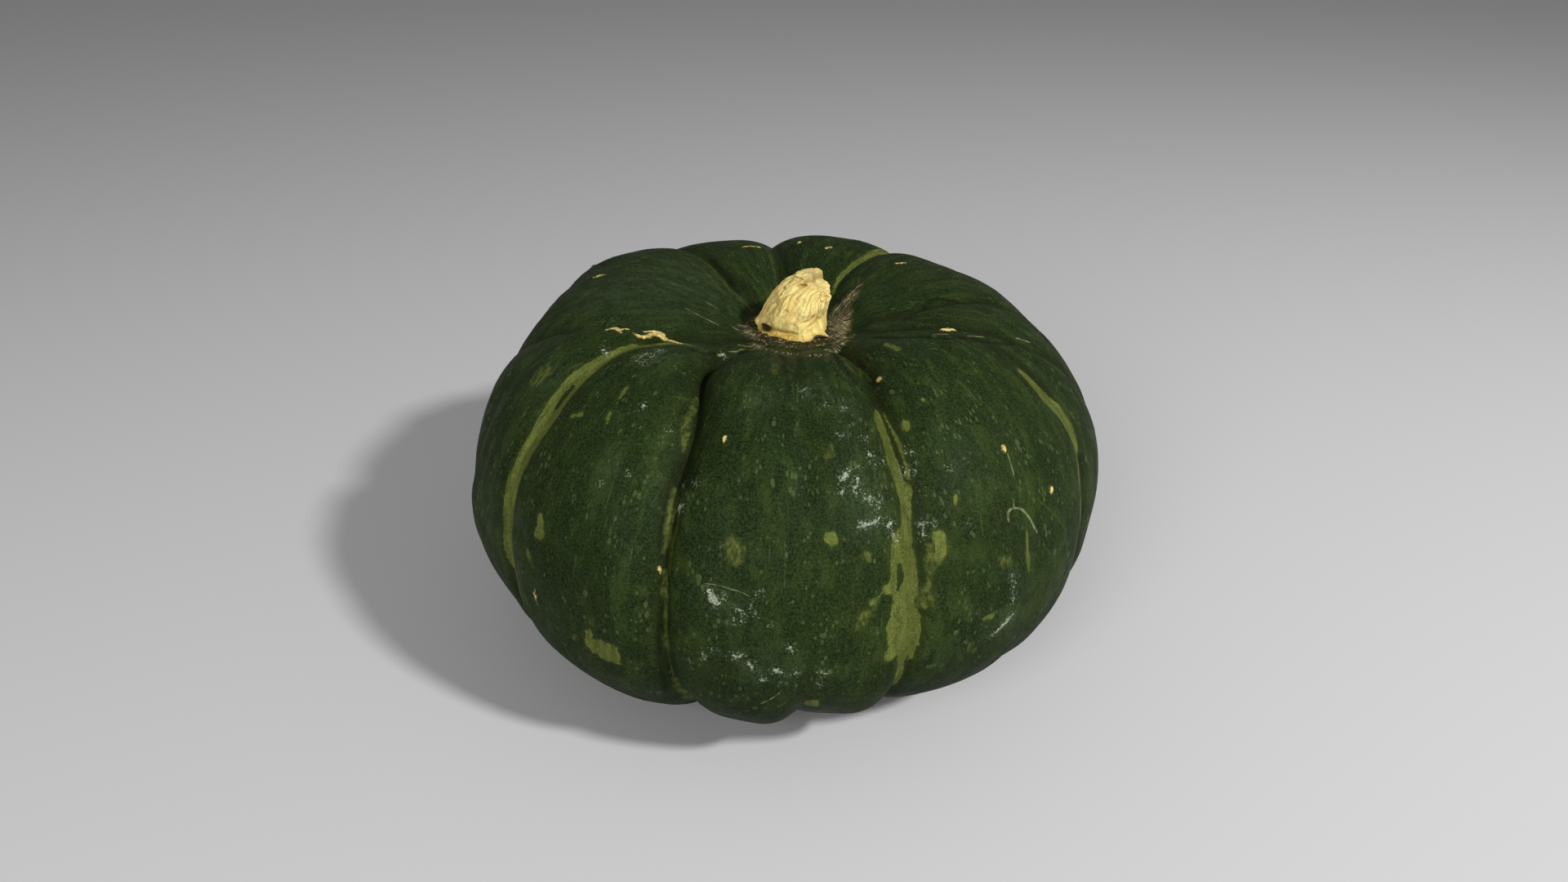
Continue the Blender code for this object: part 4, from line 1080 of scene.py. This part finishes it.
def make_stalk():
    nc, nr, cap = STALK_COLUMNS, STALK_ROWS, 26
    a = np.arange(nc) * 360.0 / nc
    rows, tags = [], []
    foot = stalk_side(a, np.zeros(nc))
    mid = foot.mean(0)
    for k in range(1, 9):
        s = k / 9
        ring = mid + (foot - mid) * s
        ring[:, 2] = foot[:, 2].min() + 0.00003 * (1 - s)
        rows.append(ring)
        tags.append(np.full(nc, -0.2 * (1 - s)))
    for k in range(nr + 1):
        t = (k / nr) ** 0.97
        rows.append(stalk_side(a, np.full(nc, t)))
        tags.append(np.full(nc, t))
    rim = rows[-1]
    top = rim.mean(0)
    # the cut end: a puckered dome whose back stands higher than its front lip
    for k in range(1, cap):
        s = 1 - k / cap
        q = top + (rim - top) * s
        away = q - top
        flat = foot[:, 2].min() + STEM_HEIGHT * STALK_RIM - cut_drop(away[:, 0] * 1000, away[:, 1] * 1000) / 1000
        q[:, 2] = rim[:, 2] * s ** 6 + flat * (1 - s ** 6)
        dome = 0.0003 * (1 - s ** 2.4)
        back = 0.0004 * step(-0.0015, 0.0030, away[:, 1] - 0.15 * away[:, 0]) * step(0.0, 0.35, 1 - s)
        groove = -0.0010 * np.exp(-((away[:, 1] - 0.12 * away[:, 0] + 0.0010) / 0.0006) ** 2) * step(0.0, 0.3, 1 - s)
        ripple = 0.00028 * lumps(np.stack([q[:, 0], q[:, 1] * 1.8, 0 * q[:, 2]], -1), 0.0013, 31) * step(0, 0.2, 1 - s)
        q[:, 2] += dome + back + groove + ripple
        rows.append(q)
        tags.append(np.full(nc, 1.0 + 0.2 * (1 - s)))
    verts = np.concatenate([[[mid[0], mid[1], foot[:, 2].min() + 0.00003]]] + rows + [rows[-1].mean(0, keepdims=True)])
    tag = np.concatenate([[-0.2]] + tags + [[1.2]])
    n = len(rows)
    faces = []
    for c in range(nc):
        d = (c + 1) % nc
        faces.append((0, 1 + d, 1 + c))
        for k in range(n - 1):
            faces.append((1 + k * nc + c, 1 + k * nc + d, 1 + (k + 1) * nc + d, 1 + (k + 1) * nc + c))
        faces.append((1 + (n - 1) * nc + c, 1 + (n - 1) * nc + d, 1 + n * nc))
    mesh = bpy.data.meshes.new("stem_stub")
    mesh.from_pydata(verts.tolist(), [], faces)
    mesh.update()
    mesh.shade_smooth()
    # how much lower a point lies than its neighbours up and down and round: the stem material paints shade into the low
    # folds and highlight onto the raised ones
    grid = verts[1:-1].reshape(n, nc, 3)
    r = np.hypot(grid[..., 0] - grid[..., 0].mean(1, keepdims=True), grid[..., 1] - grid[..., 1].mean(1, keepdims=True))
    soft = r.copy()
    for _ in range(14):
        soft = (soft + np.roll(soft, 1, 1) + np.roll(soft, -1, 1)) / 3
    fold = np.concatenate([[0], ((r - soft) * 1000).ravel(), [0]])
    store(mesh, "fold", fold)
    ang_deg = np.concatenate([[0], np.tile(a, n), [0]])
    on_cut = (verts - top) * 1000
    torn = np.exp(-(((on_cut[:, 0] + 3.0) * 0.79 - (on_cut[:, 1] + 4.4) * 0.615 - 0.25) / 0.34) ** 2) * step(0.9, 1.0, tag)
    # dark: painted shade along the drawn creases, and a dark line along the step where the cut drops
    store(mesh, "dark", np.maximum(np.where(tag <= 1.0, stalk_creases(ang_deg, np.clip(tag, 0.0, 1.0))[1], 0.0), 0.85 * torn))
    # hollow at the lower left, the mask for its painted shade, and the lip under it
    store(mesh, "hollow", np.exp(-(np.abs(apart(ang_deg, STALK_HOLLOW[0]) / STALK_HOLLOW[2]) ** 2.4 + np.abs((tag - STALK_HOLLOW[1]) / STALK_HOLLOW[3]) ** 2.4)))
    brink = np.interp(ang_deg, (212.7, 230.0, 249.9, 265.4, 277.4), (0.125, 0.140, 0.128, 0.110, 0.096))
    store(mesh, "lip", step(188, 204, ang_deg) * (1 - step(258, 288, ang_deg)) * (1 - step(brink - 0.022, brink + 0.008, tag)))
    # mask for the painted shadow in the gap under the flared tip
    store(mesh, "gap", np.exp(-(apart(ang_deg, 309) / 11.0) ** 2) * (1 - step(0.01, 0.05, tag)))
    store(mesh, "height", tag)
    ang = np.concatenate([[0], np.tile(np.radians(a), n), [0]])
    store(mesh, "grain", np.stack([np.cos(ang) * 0.009, np.sin(ang) * 0.009, tag * STEM_HEIGHT], -1))
    obj = bpy.data.objects.new("stem_stub", mesh)
    bpy.context.scene.collection.objects.link(obj)
    return obj


# ---- materials -----------------------------------------------------------------
class Nodes:
    """Short names for building a node material."""

    def __init__(self, name):
        self.mat = bpy.data.materials.new(name)
        self.mat.use_nodes = True
        self.tree = self.mat.node_tree
        self.tree.nodes.clear()
        self.out = self.tree.nodes.new("ShaderNodeOutputMaterial")
        self.shader = self.tree.nodes.new("ShaderNodeBsdfPrincipled")
        self.tree.links.new(self.shader.outputs[0], self.out.inputs["Surface"])
        self.where = self.tree.nodes.new("ShaderNodeTexCoord").outputs["Object"]

    def feed(self, socket, value):
        if isinstance(value, bpy.types.NodeSocket):
            self.tree.links.new(value, socket)
        elif hasattr(socket.default_value, "__len__") and not hasattr(value, "__len__"):
            socket.default_value = [value] * len(socket.default_value)
        elif hasattr(socket.default_value, "__len__") and len(value) == 3 and len(socket.default_value) == 4:
            socket.default_value = (*value, 1.0)
        else:
            socket.default_value = value

    def attr(self, name, vector=False):
        n = self.tree.nodes.new("ShaderNodeAttribute")
        n.attribute_name = name
        return n.outputs["Vector" if vector else "Fac"]

    def math(self, op, a, b=0.0, c=0.0, clamp=False):
        n = self.tree.nodes.new("ShaderNodeMath")
        n.operation = op
        n.use_clamp = clamp
        for s, v in zip(n.inputs, (a, b, c)):
            self.feed(s, v)
        return n.outputs[0]

    def vec(self, op, a, b=(0, 0, 0)):
        n = self.tree.nodes.new("ShaderNodeVectorMath")
        n.operation = op
        self.feed(n.inputs[0], a)
        self.feed(n.inputs[1], b)
        return n.outputs[0]

    def mix(self, fac, a, b, blend="MIX"):
        n = self.tree.nodes.new("ShaderNodeMix")
        n.data_type = "RGBA"
        n.blend_type = blend
        self.feed(n.inputs[0], fac)
        self.feed(n.inputs[6], a)
        self.feed(n.inputs[7], b)
        return n.outputs[2]

    def ramp(self, value, a, b, lo=0.0, hi=1.0, smooth=True):
        """Value carried from lo at a to hi at b, and held outside."""
        n = self.tree.nodes.new("ShaderNodeMapRange")
        n.interpolation_type = "SMOOTHSTEP" if smooth else "LINEAR"
        n.clamp = True
        for s, v in zip(n.inputs, (value, a, b, lo, hi)):
            self.feed(s, v)
        return n.outputs[0]

    def noise(self, vector, size, detail=2.0, rough=0.5, warp=0.0):
        n = self.tree.nodes.new("ShaderNodeTexNoise")
        self.feed(n.inputs["Vector"], vector)
        self.feed(n.inputs["Scale"], 1.0 / size)
        self.feed(n.inputs["Detail"], detail)
        self.feed(n.inputs["Roughness"], rough)
        self.feed(n.inputs["Distortion"], warp)
        return n.outputs[0]

    def cells(self, vector, size, feature="F1", even=1.0):
        n = self.tree.nodes.new("ShaderNodeTexVoronoi")
        n.feature = feature
        self.feed(n.inputs["Vector"], vector)
        self.feed(n.inputs["Scale"], 1.0 / size)
        if "Randomness" in n.inputs:
            self.feed(n.inputs["Randomness"], even)
        return n.outputs

    def bump(self, height, distance, strength=1.0, under=None):
        n = self.tree.nodes.new("ShaderNodeBump")
        self.feed(n.inputs["Strength"], strength)
        self.feed(n.inputs["Distance"], distance)
        self.feed(n.inputs["Height"], height)
        if under is not None:
            self.feed(n.inputs["Normal"], under)
        return n.outputs[0]

    def set(self, **values):
        for name, value in values.items():
            self.feed(self.shader.inputs[name.replace("_", " ")], value)


def rind_material():
    m = Nodes("rind")
    p = m.where
    grain = m.attr("grain", vector=True)
    long_grain = m.vec("MULTIPLY", grain, (1.0, 1.0, 0.22))
    mid_grain = m.vec("MULTIPLY", grain, (1.0, 1.0, 0.5))

    # green ground: broad patches, streaks along the meridians, mottling
    broad = m.noise(p, 0.034, 3.0, 0.55)
    streak = m.noise(long_grain, 0.0050, 3.0, 0.6)
    mottle = m.noise(mid_grain, 0.0042, 4.0, 0.62, 0.4)
    green = m.mix(m.ramp(broad, 0.36, 0.66), RIND_DEEP, RIND_MID)
    green = m.mix(m.ramp(streak, 0.42, 0.68, 0.0, 0.70), green, RIND_WARM)
    green = m.mix(m.ramp(mottle, 0.50, 0.64, 0.0, 0.80), green, RIND_LIGHT)
    green = m.mix(m.ramp(mottle, 0.49, 0.36, 0.0, 0.80), green, RIND_DEEP)
    green = m.mix(m.ramp(m.noise(p, 0.011, 2.0, 0.5), 0.52, 0.70, 0.0, 0.40), green, RIND_BLUE)
    # fine pale specks and darker pores, as on all such rinds
    dots = m.cells(mid_grain, 0.00125)
    size = m.ramp(m.noise(p, 0.006, 2.0, 0.5), 0.42, 0.72, 0.10, 0.40)
    speck = m.math("MULTIPLY", m.ramp(m.math("SUBTRACT", size, dots["Distance"]), 0.0, 0.12), 0.75)
    green = m.mix(speck, green, RIND_SPECK)
    # light scratches that follow the ribs
    hair_grain = m.vec("MULTIPLY", grain, (1.0, 1.0, 0.07))
    hair = m.ramp(m.noise(hair_grain, 0.00075, 2.0, 0.7), 0.62, 0.74)
    hair = m.math("MULTIPLY", hair, m.ramp(m.noise(p, 0.014, 3.0, 0.6), 0.46, 0.64, 0.04, 0.50))
    green = m.mix(hair, green, (0.0900, 0.1150, 0.0700))
    tiny = m.noise(p, 0.00050, 1.0, 0.7)
    green = m.mix(m.ramp(tiny, 0.35, 0.68, 0.0, 1.0, smooth=False), m.mix(0.30, green, (0.004, 0.008, 0.002), "MIX"),
                  m.mix(0.26, green, RIND_SPECK))
    big = m.cells(m.vec("MULTIPLY", grain, (1.0, 1.0, 0.7)), 0.0061)
    drop = m.ramp(m.math("ADD", big["Distance"], m.math("MULTIPLY", tiny, 0.10)), 0.13, 0.17, 1.0, 0.0)
    keep = m.ramp(m.noise(p, 0.013, 1.0, 0.5), 0.50, 0.58)
    green = m.mix(m.math("MULTIPLY", m.math("MULTIPLY", drop, keep), 0.42), green, (0.085, 0.120, 0.060))
    small = m.cells(m.vec("MULTIPLY", grain, (1.0, 1.0, 0.8)), 0.0031)
    fleck = m.ramp(m.math("ADD", small["Distance"], m.math("MULTIPLY", tiny, 0.22)), 0.19, 0.25, 1.0, 0.0)
    keep = m.ramp(m.noise(p, 0.010, 2.0, 0.5), 0.45, 0.60, 0.12, 1.0)
    green = m.mix(m.math("MULTIPLY", m.math("MULTIPLY", fleck, keep), 0.55), green, (0.0750, 0.0950, 0.0350))
    # olive blotches with no clear edge
    blotch = m.noise(mid_grain, 0.0088, 4.0, 0.62, 0.3)
    green = m.mix(m.ramp(blotch, 0.56, 0.74, 0.0, 0.55), green, (0.0330, 0.0480, 0.0090))

    # painted shade: the valleys along the creases are painted darker and browner
    crease = m.attr("crease")
    valley = m.ramp(m.math("ADD", crease, m.math("MULTIPLY", m.noise(long_grain, 0.0018, 2.0, 0.6), 3.0)), 1.6, 5.0, 1.0, 0.0)
    green = m.mix(m.math("MULTIPLY", valley, 0.62), green, (0.0090, 0.0115, 0.0026))
    # painted shade: the lower part is painted darker, as if shaded from above
    low = m.tree.nodes.new("ShaderNodeSeparateXYZ")
    m.feed(low.inputs[0], p)
    green = m.mix(m.ramp(low.outputs[2], 0.048, 0.008, 0.0, 0.62), green, (0.0045, 0.0085, 0.0022))

    # edges of markings wander with fine noise
    edge_a = m.math("MULTIPLY", m.math("SUBTRACT", m.noise(mid_grain, 0.0017, 3.0, 0.65), 0.5), 1.5)
    edge_b = m.math("MULTIPLY", m.math("SUBTRACT", m.noise(mid_grain, 0.00055, 1.0, 0.6), 0.5), 0.55)
    edge = m.math("ADD", edge_a, edge_b)

    patchy = m.noise(mid_grain, 0.0036, 4.0, 0.7)
    olive = m.ramp(m.math("ADD", m.attr("olive"), m.math("MULTIPLY", edge, 1.5)), -0.7, 0.6)
    olive = m.math("MULTIPLY", olive, m.ramp(patchy, 0.36, 0.56, 0.60, 1.0))
    fleck = m.noise(mid_grain, 0.0013, 2.0, 0.7)
    olive_colour = m.mix(m.ramp(fleck, 0.40, 0.62), OLIVE_DIM, OLIVE)
    colour = m.mix(m.math("MULTIPLY", olive, 0.92), green, olive_colour)

    near_pale = m.math("ADD", m.attr("pale"), edge)
    halo = m.ramp(near_pale, -1.1, 0.1, 0.0, 0.45)
    colour = m.mix(halo, colour, OLIVE_DIM)
    pale = m.ramp(near_pale, -0.10, 0.22)
    stripe_grain = m.noise(long_grain, 0.0016, 3.0, 0.6)
    pale_colour = m.mix(m.ramp(stripe_grain, 0.36, 0.66), PALE_DIM, PALE)
    pale_colour = m.mix(m.ramp(m.noise(mid_grain, 0.0075, 3.0, 0.55), 0.46, 0.62, 0.0, 0.55), pale_colour, (0.0620, 0.0760, 0.0150))
    pale_colour = m.mix(m.ramp(tiny, 0.40, 0.70, 0.0, 0.42), pale_colour, PALE_BRIGHT)
    pale_colour = m.mix(m.ramp(m.noise(mid_grain, 0.0024, 3.0, 0.7), 0.60, 0.70, 0.0, 0.55), pale_colour, OLIVE_DIM)
    worn = m.ramp(m.noise(mid_grain, 0.0048, 4.0, 0.72), 0.44, 0.60, 0.0, 0.45)
    pale_colour = m.mix(worn, pale_colour, (0.0560, 0.0700, 0.0125))
    colour = m.mix(m.math("MULTIPLY", pale, 0.95), colour, pale_colour)

    def line(layer, base, tint, gain):
        s = m.attr("line_" + layer)
        half = m.attr("half_" + layer)
        wob = m.math("MULTIPLY", m.math("SUBTRACT", m.noise(p, 0.0011, 2.0, 0.6), 0.5), 0.35)
        d = m.math("SUBTRACT", half, m.math("ABSOLUTE", m.math("ADD", s, wob)))
        broken = m.ramp(m.noise(p, 0.0021, 3.0, 0.7), 0.40, 0.58, 0.25, gain)
        return m.mix(m.math("MULTIPLY", m.ramp(d, -0.10, 0.12), broken), base, tint)

    colour = line("p0", colour, PALE_DIM, 0.80)
    colour = line("p1", colour, PALE_DIM, 0.80)

    # painted shade along the clefts
    cleft_shade = m.math("ADD", m.attr("dark"), m.math("MULTIPLY", edge, 0.6))
    colour = m.mix(m.ramp(cleft_shade, -1.0, 0.6, 0.0, 0.76), colour, (0.0040, 0.0060, 0.0018))

    # waxy bloom
    cloud = m.noise(p, 0.0028, 4.0, 0.7)
    bloom = m.math("MULTIPLY", m.attr("bloom"), m.ramp(cloud, 0.38, 0.72, 0.06, 0.75))
    colour = m.mix(m.math("MULTIPLY", bloom, 0.24), colour, (0.095, 0.130, 0.080))

    # corky scars and warts
    cork_edge = m.math("MULTIPLY", m.math("SUBTRACT", m.noise(p, 0.0010, 2.0, 0.75), 0.5), 1.5)
    cork_tone = m.mix(m.ramp(m.noise(p, 0.0012, 3.0, 0.6), 0.36, 0.66), CORK_DARK, CORK_LIGHT)
    for kind, less in (("scar", 0.0), ("wart", -0.22)):
        k = m.math("ADD", m.math("ADD", m.attr(kind), less), cork_edge)
        colour = m.mix(m.ramp(k, -0.60, 0.0, 0.0, 0.6), colour, (0.060, 0.060, 0.014))
        colour = m.mix(m.ramp(k, -0.18, 0.22), colour, cork_tone)
    colour = line("c0", colour, CREAM, 0.80)
    colour = line("c1", colour, CREAM, 0.80)

    # roughened ring round the stem: dark crust with tan flecks, and dry fibres beside it
    crust = m.noise(p, 0.0011, 4.0, 0.75, 0.8)
    ring = m.attr("ring")
    colour = m.mix(m.ramp(m.math("ADD", ring, m.math("MULTIPLY", m.math("SUBTRACT", crust, 0.5), 0.9)), 0.35, 0.62, 0.0, 0.85), colour, (0.030, 0.027, 0.010))
    flake = m.math("MULTIPLY", m.ramp(ring, 0.25, 0.70), m.ramp(crust, 0.54, 0.64))
    colour = m.mix(flake, colour, (0.300, 0.235, 0.105))
    fur = m.math("ADD", m.attr("fur"), m.math("MULTIPLY", m.math("SUBTRACT", crust, 0.5), 3.0))
    strand = m.noise(m.vec("MULTIPLY", grain, (1.0, 1.0, 0.28)), 0.00135, 3.0, 0.75)
    clump = m.noise(p, 0.0036, 4.0, 0.7)
    colour = m.mix(m.ramp(fur, -1.1, 0.5, 0.0, 0.75), colour, (0.026, 0.025, 0.010))
    fibre = m.math("MULTIPLY", m.ramp(fur, -1.0, 1.0), m.ramp(m.math("ADD", strand, m.math("MULTIPLY", clump, 0.45)), 0.66, 0.88, 0.0, 0.92))
    colour = m.mix(fibre, colour, m.mix(m.ramp(crust, 0.40, 0.62), (0.250, 0.200, 0.095), (0.480, 0.410, 0.220)))
    colour = m.mix(m.ramp(m.attr("under"), 0.25, 0.75), colour, m.mix(m.ramp(crust, 0.42, 0.62), CORK_DARK, (0.330, 0.270, 0.140)))

    # chalky dust
    dust_edge = m.math("MULTIPLY", m.math("SUBTRACT", m.noise(p, 0.0009, 2.0, 0.8), 0.5), 2.6)
    dust = m.ramp(m.math("ADD", m.attr("dust"), dust_edge), 0.05, 0.60, 0.0, 0.80)
    powder = m.ramp(m.attr("dust"), -1.6, 0.2, 0.0, 1.0)
    powder = m.math("MULTIPLY", powder, m.ramp(m.noise(p, 0.0006, 1.0, 0.8), 0.56, 0.70, 0.0, 0.55))
    dust = m.math("MAXIMUM", dust, powder)
    colour = m.mix(dust, colour, m.mix(m.ramp(tiny, 0.35, 0.65), (0.170, 0.200, 0.140), (0.420, 0.450, 0.350)))

    rough = m.ramp(m.noise(p, 0.0065, 3.0, 0.6), 0.3, 0.7, 0.50, 0.64)
    rough = m.math("ADD", rough, m.math("MULTIPLY", bloom, 0.22))
    rough = m.math("ADD", rough, m.math("MULTIPLY", dust, 0.30), clamp=True)
    m.set(Base_Color=colour, Roughness=rough)
    m.shader.inputs["Specular IOR Level"].default_value = 0.04
    m.shader.inputs["Metallic"].default_value = 0.0

    skin_tex = m.math("ADD", m.math("MULTIPLY", m.noise(mid_grain, 0.0016, 2.0, 0.6), 1.0), m.math("MULTIPLY", tiny, 0.45))
    normal = m.bump(skin_tex, 0.00022, 0.75)
    normal = m.bump(m.math("MULTIPLY", m.math("ADD", ring, m.ramp(fur, -0.6, 0.6)), crust), 0.00045, 0.9, normal)
    m.feed(m.shader.inputs["Normal"], normal)
    return m.mat


def stem_material():
    m = Nodes("dry_stem")
    p = m.where
    grain = m.attr("grain", vector=True)
    long_grain = m.vec("MULTIPLY", grain, (1.0, 1.0, 0.16))
    fold = m.attr("fold")
    height = m.attr("height")
    tone = m.mix(m.ramp(m.noise(p, 0.0042, 3.0, 0.6), 0.36, 0.66), STEM_CREAM, STEM_TAN)
    tone = m.mix(m.ramp(m.noise(long_grain, 0.00085, 3.0, 0.65), 0.44, 0.64, 0.0, 0.70), tone, STEM_LINE)
    tone = m.mix(m.ramp(m.noise(long_grain, 0.0021, 3.0, 0.6), 0.55, 0.68, 0.0, 0.62), tone, STEM_OCHRE)
    # painted shade in the furrows, darkest in the deepest, and painted highlight on the raised folds
    tone = m.mix(m.ramp(fold, 0.05, -0.55, 0.0, 0.75), tone, STEM_LINE)
    tone = m.mix(m.ramp(fold, -0.35, -1.0, 0.0, 0.85), tone, (0.150, 0.085, 0.030))
    tone = m.mix(m.ramp(fold, 0.10, 0.60, 0.0, 0.45), tone, STEM_RIDGE_HIGHLIGHT)
    # painted shade along the drawn creases
    crease = m.math("ADD", m.attr("dark"), m.math("MULTIPLY", m.math("SUBTRACT", m.noise(p, 0.0012, 3.0, 0.6), 0.5), 0.35))
    tone = m.mix(m.ramp(crease, 0.12, 0.55, 0.0, 0.62), tone, (0.400, 0.260, 0.070))
    tone = m.mix(m.ramp(crease, 0.50, 1.0, 0.0, 0.70), tone, (0.210, 0.125, 0.032))
    # the foot is ochre, then brown where it meets the crust
    wob = m.math("MULTIPLY", m.math("SUBTRACT", m.noise(p, 0.0030, 3.0, 0.6), 0.5), 0.16)
    low = m.math("ADD", height, wob)
    tone = m.mix(m.ramp(low, 0.02, 0.15, 0.45, 0.0), tone, STEM_OCHRE)
    lip = m.math("ADD", m.attr("lip"), m.math("MULTIPLY", m.math("SUBTRACT", m.noise(p, 0.0022, 3.0, 0.6), 0.5), 0.9))
    tone = m.mix(m.ramp(lip, 0.15, 0.65, 0.0, 0.82), tone, m.mix(m.ramp(m.noise(p, 0.0017, 3.0, 0.7), 0.40, 0.62), (0.340, 0.200, 0.028), (0.560, 0.390, 0.090)))
    tone = m.mix(m.math("MULTIPLY", m.ramp(lip, 0.30, 0.90), m.ramp(low, 0.065, 0.0, 0.0, 0.85)), tone, (0.100, 0.038, 0.010))
    # painted shade: the hollow at the lower left is painted almost black
    hollow = m.math("ADD", m.attr("hollow"), m.math("MULTIPLY", m.math("SUBTRACT", m.noise(p, 0.0015, 3.0, 0.7), 0.5), 0.5))
    tone = m.mix(m.ramp(hollow, 0.16, 0.52, 0.0, 0.97), tone, (0.022, 0.014, 0.006))
    # painted shadow in the gap under the flared tip
    tone = m.mix(m.ramp(m.attr("gap"), 0.25, 0.65, 0.0, 0.92), tone, (0.050, 0.040, 0.045))
    tone = m.mix(m.ramp(low, -0.03, 0.045, 0.90, 0.0), tone, (0.130, 0.060, 0.020))
    # dry pores and small stains
    pore = m.cells(p, 0.0011)
    tone = m.mix(m.ramp(pore["Distance"], 0.10, 0.20, 0.35, 0.0), tone, (0.250, 0.160, 0.060))
    stain = m.ramp(m.noise(p, 0.0034, 2.0, 0.5, 0.6), 0.68, 0.76, 0.0, 0.65)
    tone = m.mix(stain, tone, (0.330, 0.200, 0.070))
    top = m.ramp(height, 1.02, 1.08)
    tone = m.mix(m.math("MULTIPLY", top, m.ramp(m.noise(p, 0.0010, 3.0, 0.7), 0.42, 0.62, 0.15, 0.65)), tone, (0.420, 0.310, 0.140))
    m.set(Base_Color=tone, Roughness=m.ramp(m.noise(p, 0.0015, 2.0, 0.6), 0.3, 0.7, 0.74, 0.92))
    m.shader.inputs["Specular IOR Level"].default_value = 0.25
    fine = m.math("ADD", m.math("MULTIPLY", m.noise(long_grain, 0.0007, 3.0, 0.65), 0.8), m.math("MULTIPLY", m.noise(p, 0.0006, 2.0, 0.6), 0.6))
    normal = m.bump(fine, 0.00030, 0.9)
    normal = m.bump(m.ramp(pore["Distance"], 0.05, 0.25), 0.00012, 0.7, normal)
    m.feed(m.shader.inputs["Normal"], normal)
    return m.mat


def floor_material():
    m = Nodes("floor")
    m.set(Base_Color=FLOOR_TONE, Roughness=0.85)
    m.shader.inputs["Specular IOR Level"].default_value = 0.1
    return m.mat


RIND_DEEP = (0.0049, 0.0115, 0.0020)
RIND_MID = (0.0087, 0.0180, 0.0032)
RIND_WARM = (0.0156, 0.0259, 0.0038)
RIND_LIGHT = (0.0231, 0.0400, 0.0083)
RIND_BLUE = (0.0087, 0.0199, 0.0060)
RIND_SPECK = (0.0616, 0.0902, 0.0297)
OLIVE_DIM = (0.0290, 0.0420, 0.0085)
OLIVE = (0.0930, 0.1080, 0.0240)
PALE_DIM = (0.0430, 0.0550, 0.0098)
PALE = (0.1080, 0.1290, 0.0245)
PALE_BRIGHT = (0.1850, 0.2100, 0.0620)
CORK_DARK = (0.3400, 0.2500, 0.0650)
CORK_LIGHT = (0.6600, 0.5500, 0.2200)
CREAM = (0.1900, 0.2000, 0.1000)
STEM_CREAM = (0.7900, 0.6550, 0.2450)
STEM_TAN = (0.6900, 0.5500, 0.1800)
STEM_LINE = (0.4200, 0.2850, 0.0850)
STEM_OCHRE = (0.5000, 0.3200, 0.0700)
STEM_RIDGE_HIGHLIGHT = (0.8600, 0.7650, 0.3750)
FLOOR_TONE = (0.5360, 0.5360, 0.5360)

# ---- the object ------------------------------------------------------------------
rind = make_skin()
rind.data.materials.append(rind_material())
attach(rind, "root")
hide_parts("squash_body")

stalk = make_stalk()
stalk.data.materials.append(stem_material())
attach(stalk, "root")
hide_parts("stem")

# ---- stage -----------------------------------------------------------------------
floor_mesh = bpy.data.meshes.new("floor")
floor_mesh.from_pydata([(-3, -3, 0), (3, -3, 0), (3, 3, 0), (-3, 3, 0)], [], [(0, 1, 2, 3)])
floor = bpy.data.objects.new("floor", floor_mesh)
bpy.context.scene.collection.objects.link(floor)
floor.location.z = -0.0002
floor_mesh.materials.append(floor_material())

world = bpy.data.worlds.new("studio")
world.use_nodes = True
world.node_tree.nodes["Background"].inputs["Color"].default_value = (1.0, 1.0, 1.0, 1.0)
world.node_tree.nodes["Background"].inputs["Strength"].default_value = 0.265
bpy.context.scene.world = world


def area_light(name, where, aim, width, power):
    data = bpy.data.lights.new(name, "AREA")
    data.shape = "DISK"
    data.size = width
    data.energy = power
    lamp = bpy.data.objects.new(name, data)
    lamp.location = where
    lamp.rotation_euler = (Vector(aim) - Vector(where)).to_track_quat("-Z", "Y").to_euler()
    bpy.context.scene.collection.objects.link(lamp)
    return lamp


area_light("key", (0.76, -0.58, 0.86), (0.0, 0.0, 0.06), 0.12, 14.2)
area_light("fill", (-0.42, -0.92, 0.58), (0.0, 0.0, 0.05), 0.60, 6.0)

# camera: the photograph's angle and distance
RISE = math.radians(29.76)
REACH = 3.473 * BELLY_RADIUS
FOCAL_PX = 1303.7
SHIFT_PX = (-1.5, 17.5)
look = Vector((0.0, math.cos(RISE), -math.sin(RISE)))
up = Vector((0.0, math.sin(RISE), math.cos(RISE)))
right = Vector((1.0, 0.0, 0.0))
middle = Vector((FRUIT_CENTRE[0], FRUIT_CENTRE[1], FLOOR_BELOW_BELLY))
spot = middle - look * REACH
lens = bpy.data.cameras.new("view")
lens.sensor_width = 36.0
lens.lens = 36.0 * FOCAL_PX / 1920.0
lens.shift_x = -SHIFT_PX[0] / 1920.0
lens.shift_y = SHIFT_PX[1] / 1920.0
lens.clip_start = 0.01
camera = bpy.data.objects.new("view", lens)
camera.matrix_world = Matrix((
    (right.x, up.x, -look.x, spot.x),
    (right.y, up.y, -look.y, spot.y),
    (right.z, up.z, -look.z, spot.z),
    (0.0, 0.0, 0.0, 1.0)))
bpy.context.scene.collection.objects.link(camera)
bpy.context.scene.camera = camera
bpy.context.scene.view_settings.view_transform = "Standard"
bpy.context.scene.view_settings.look = "None"
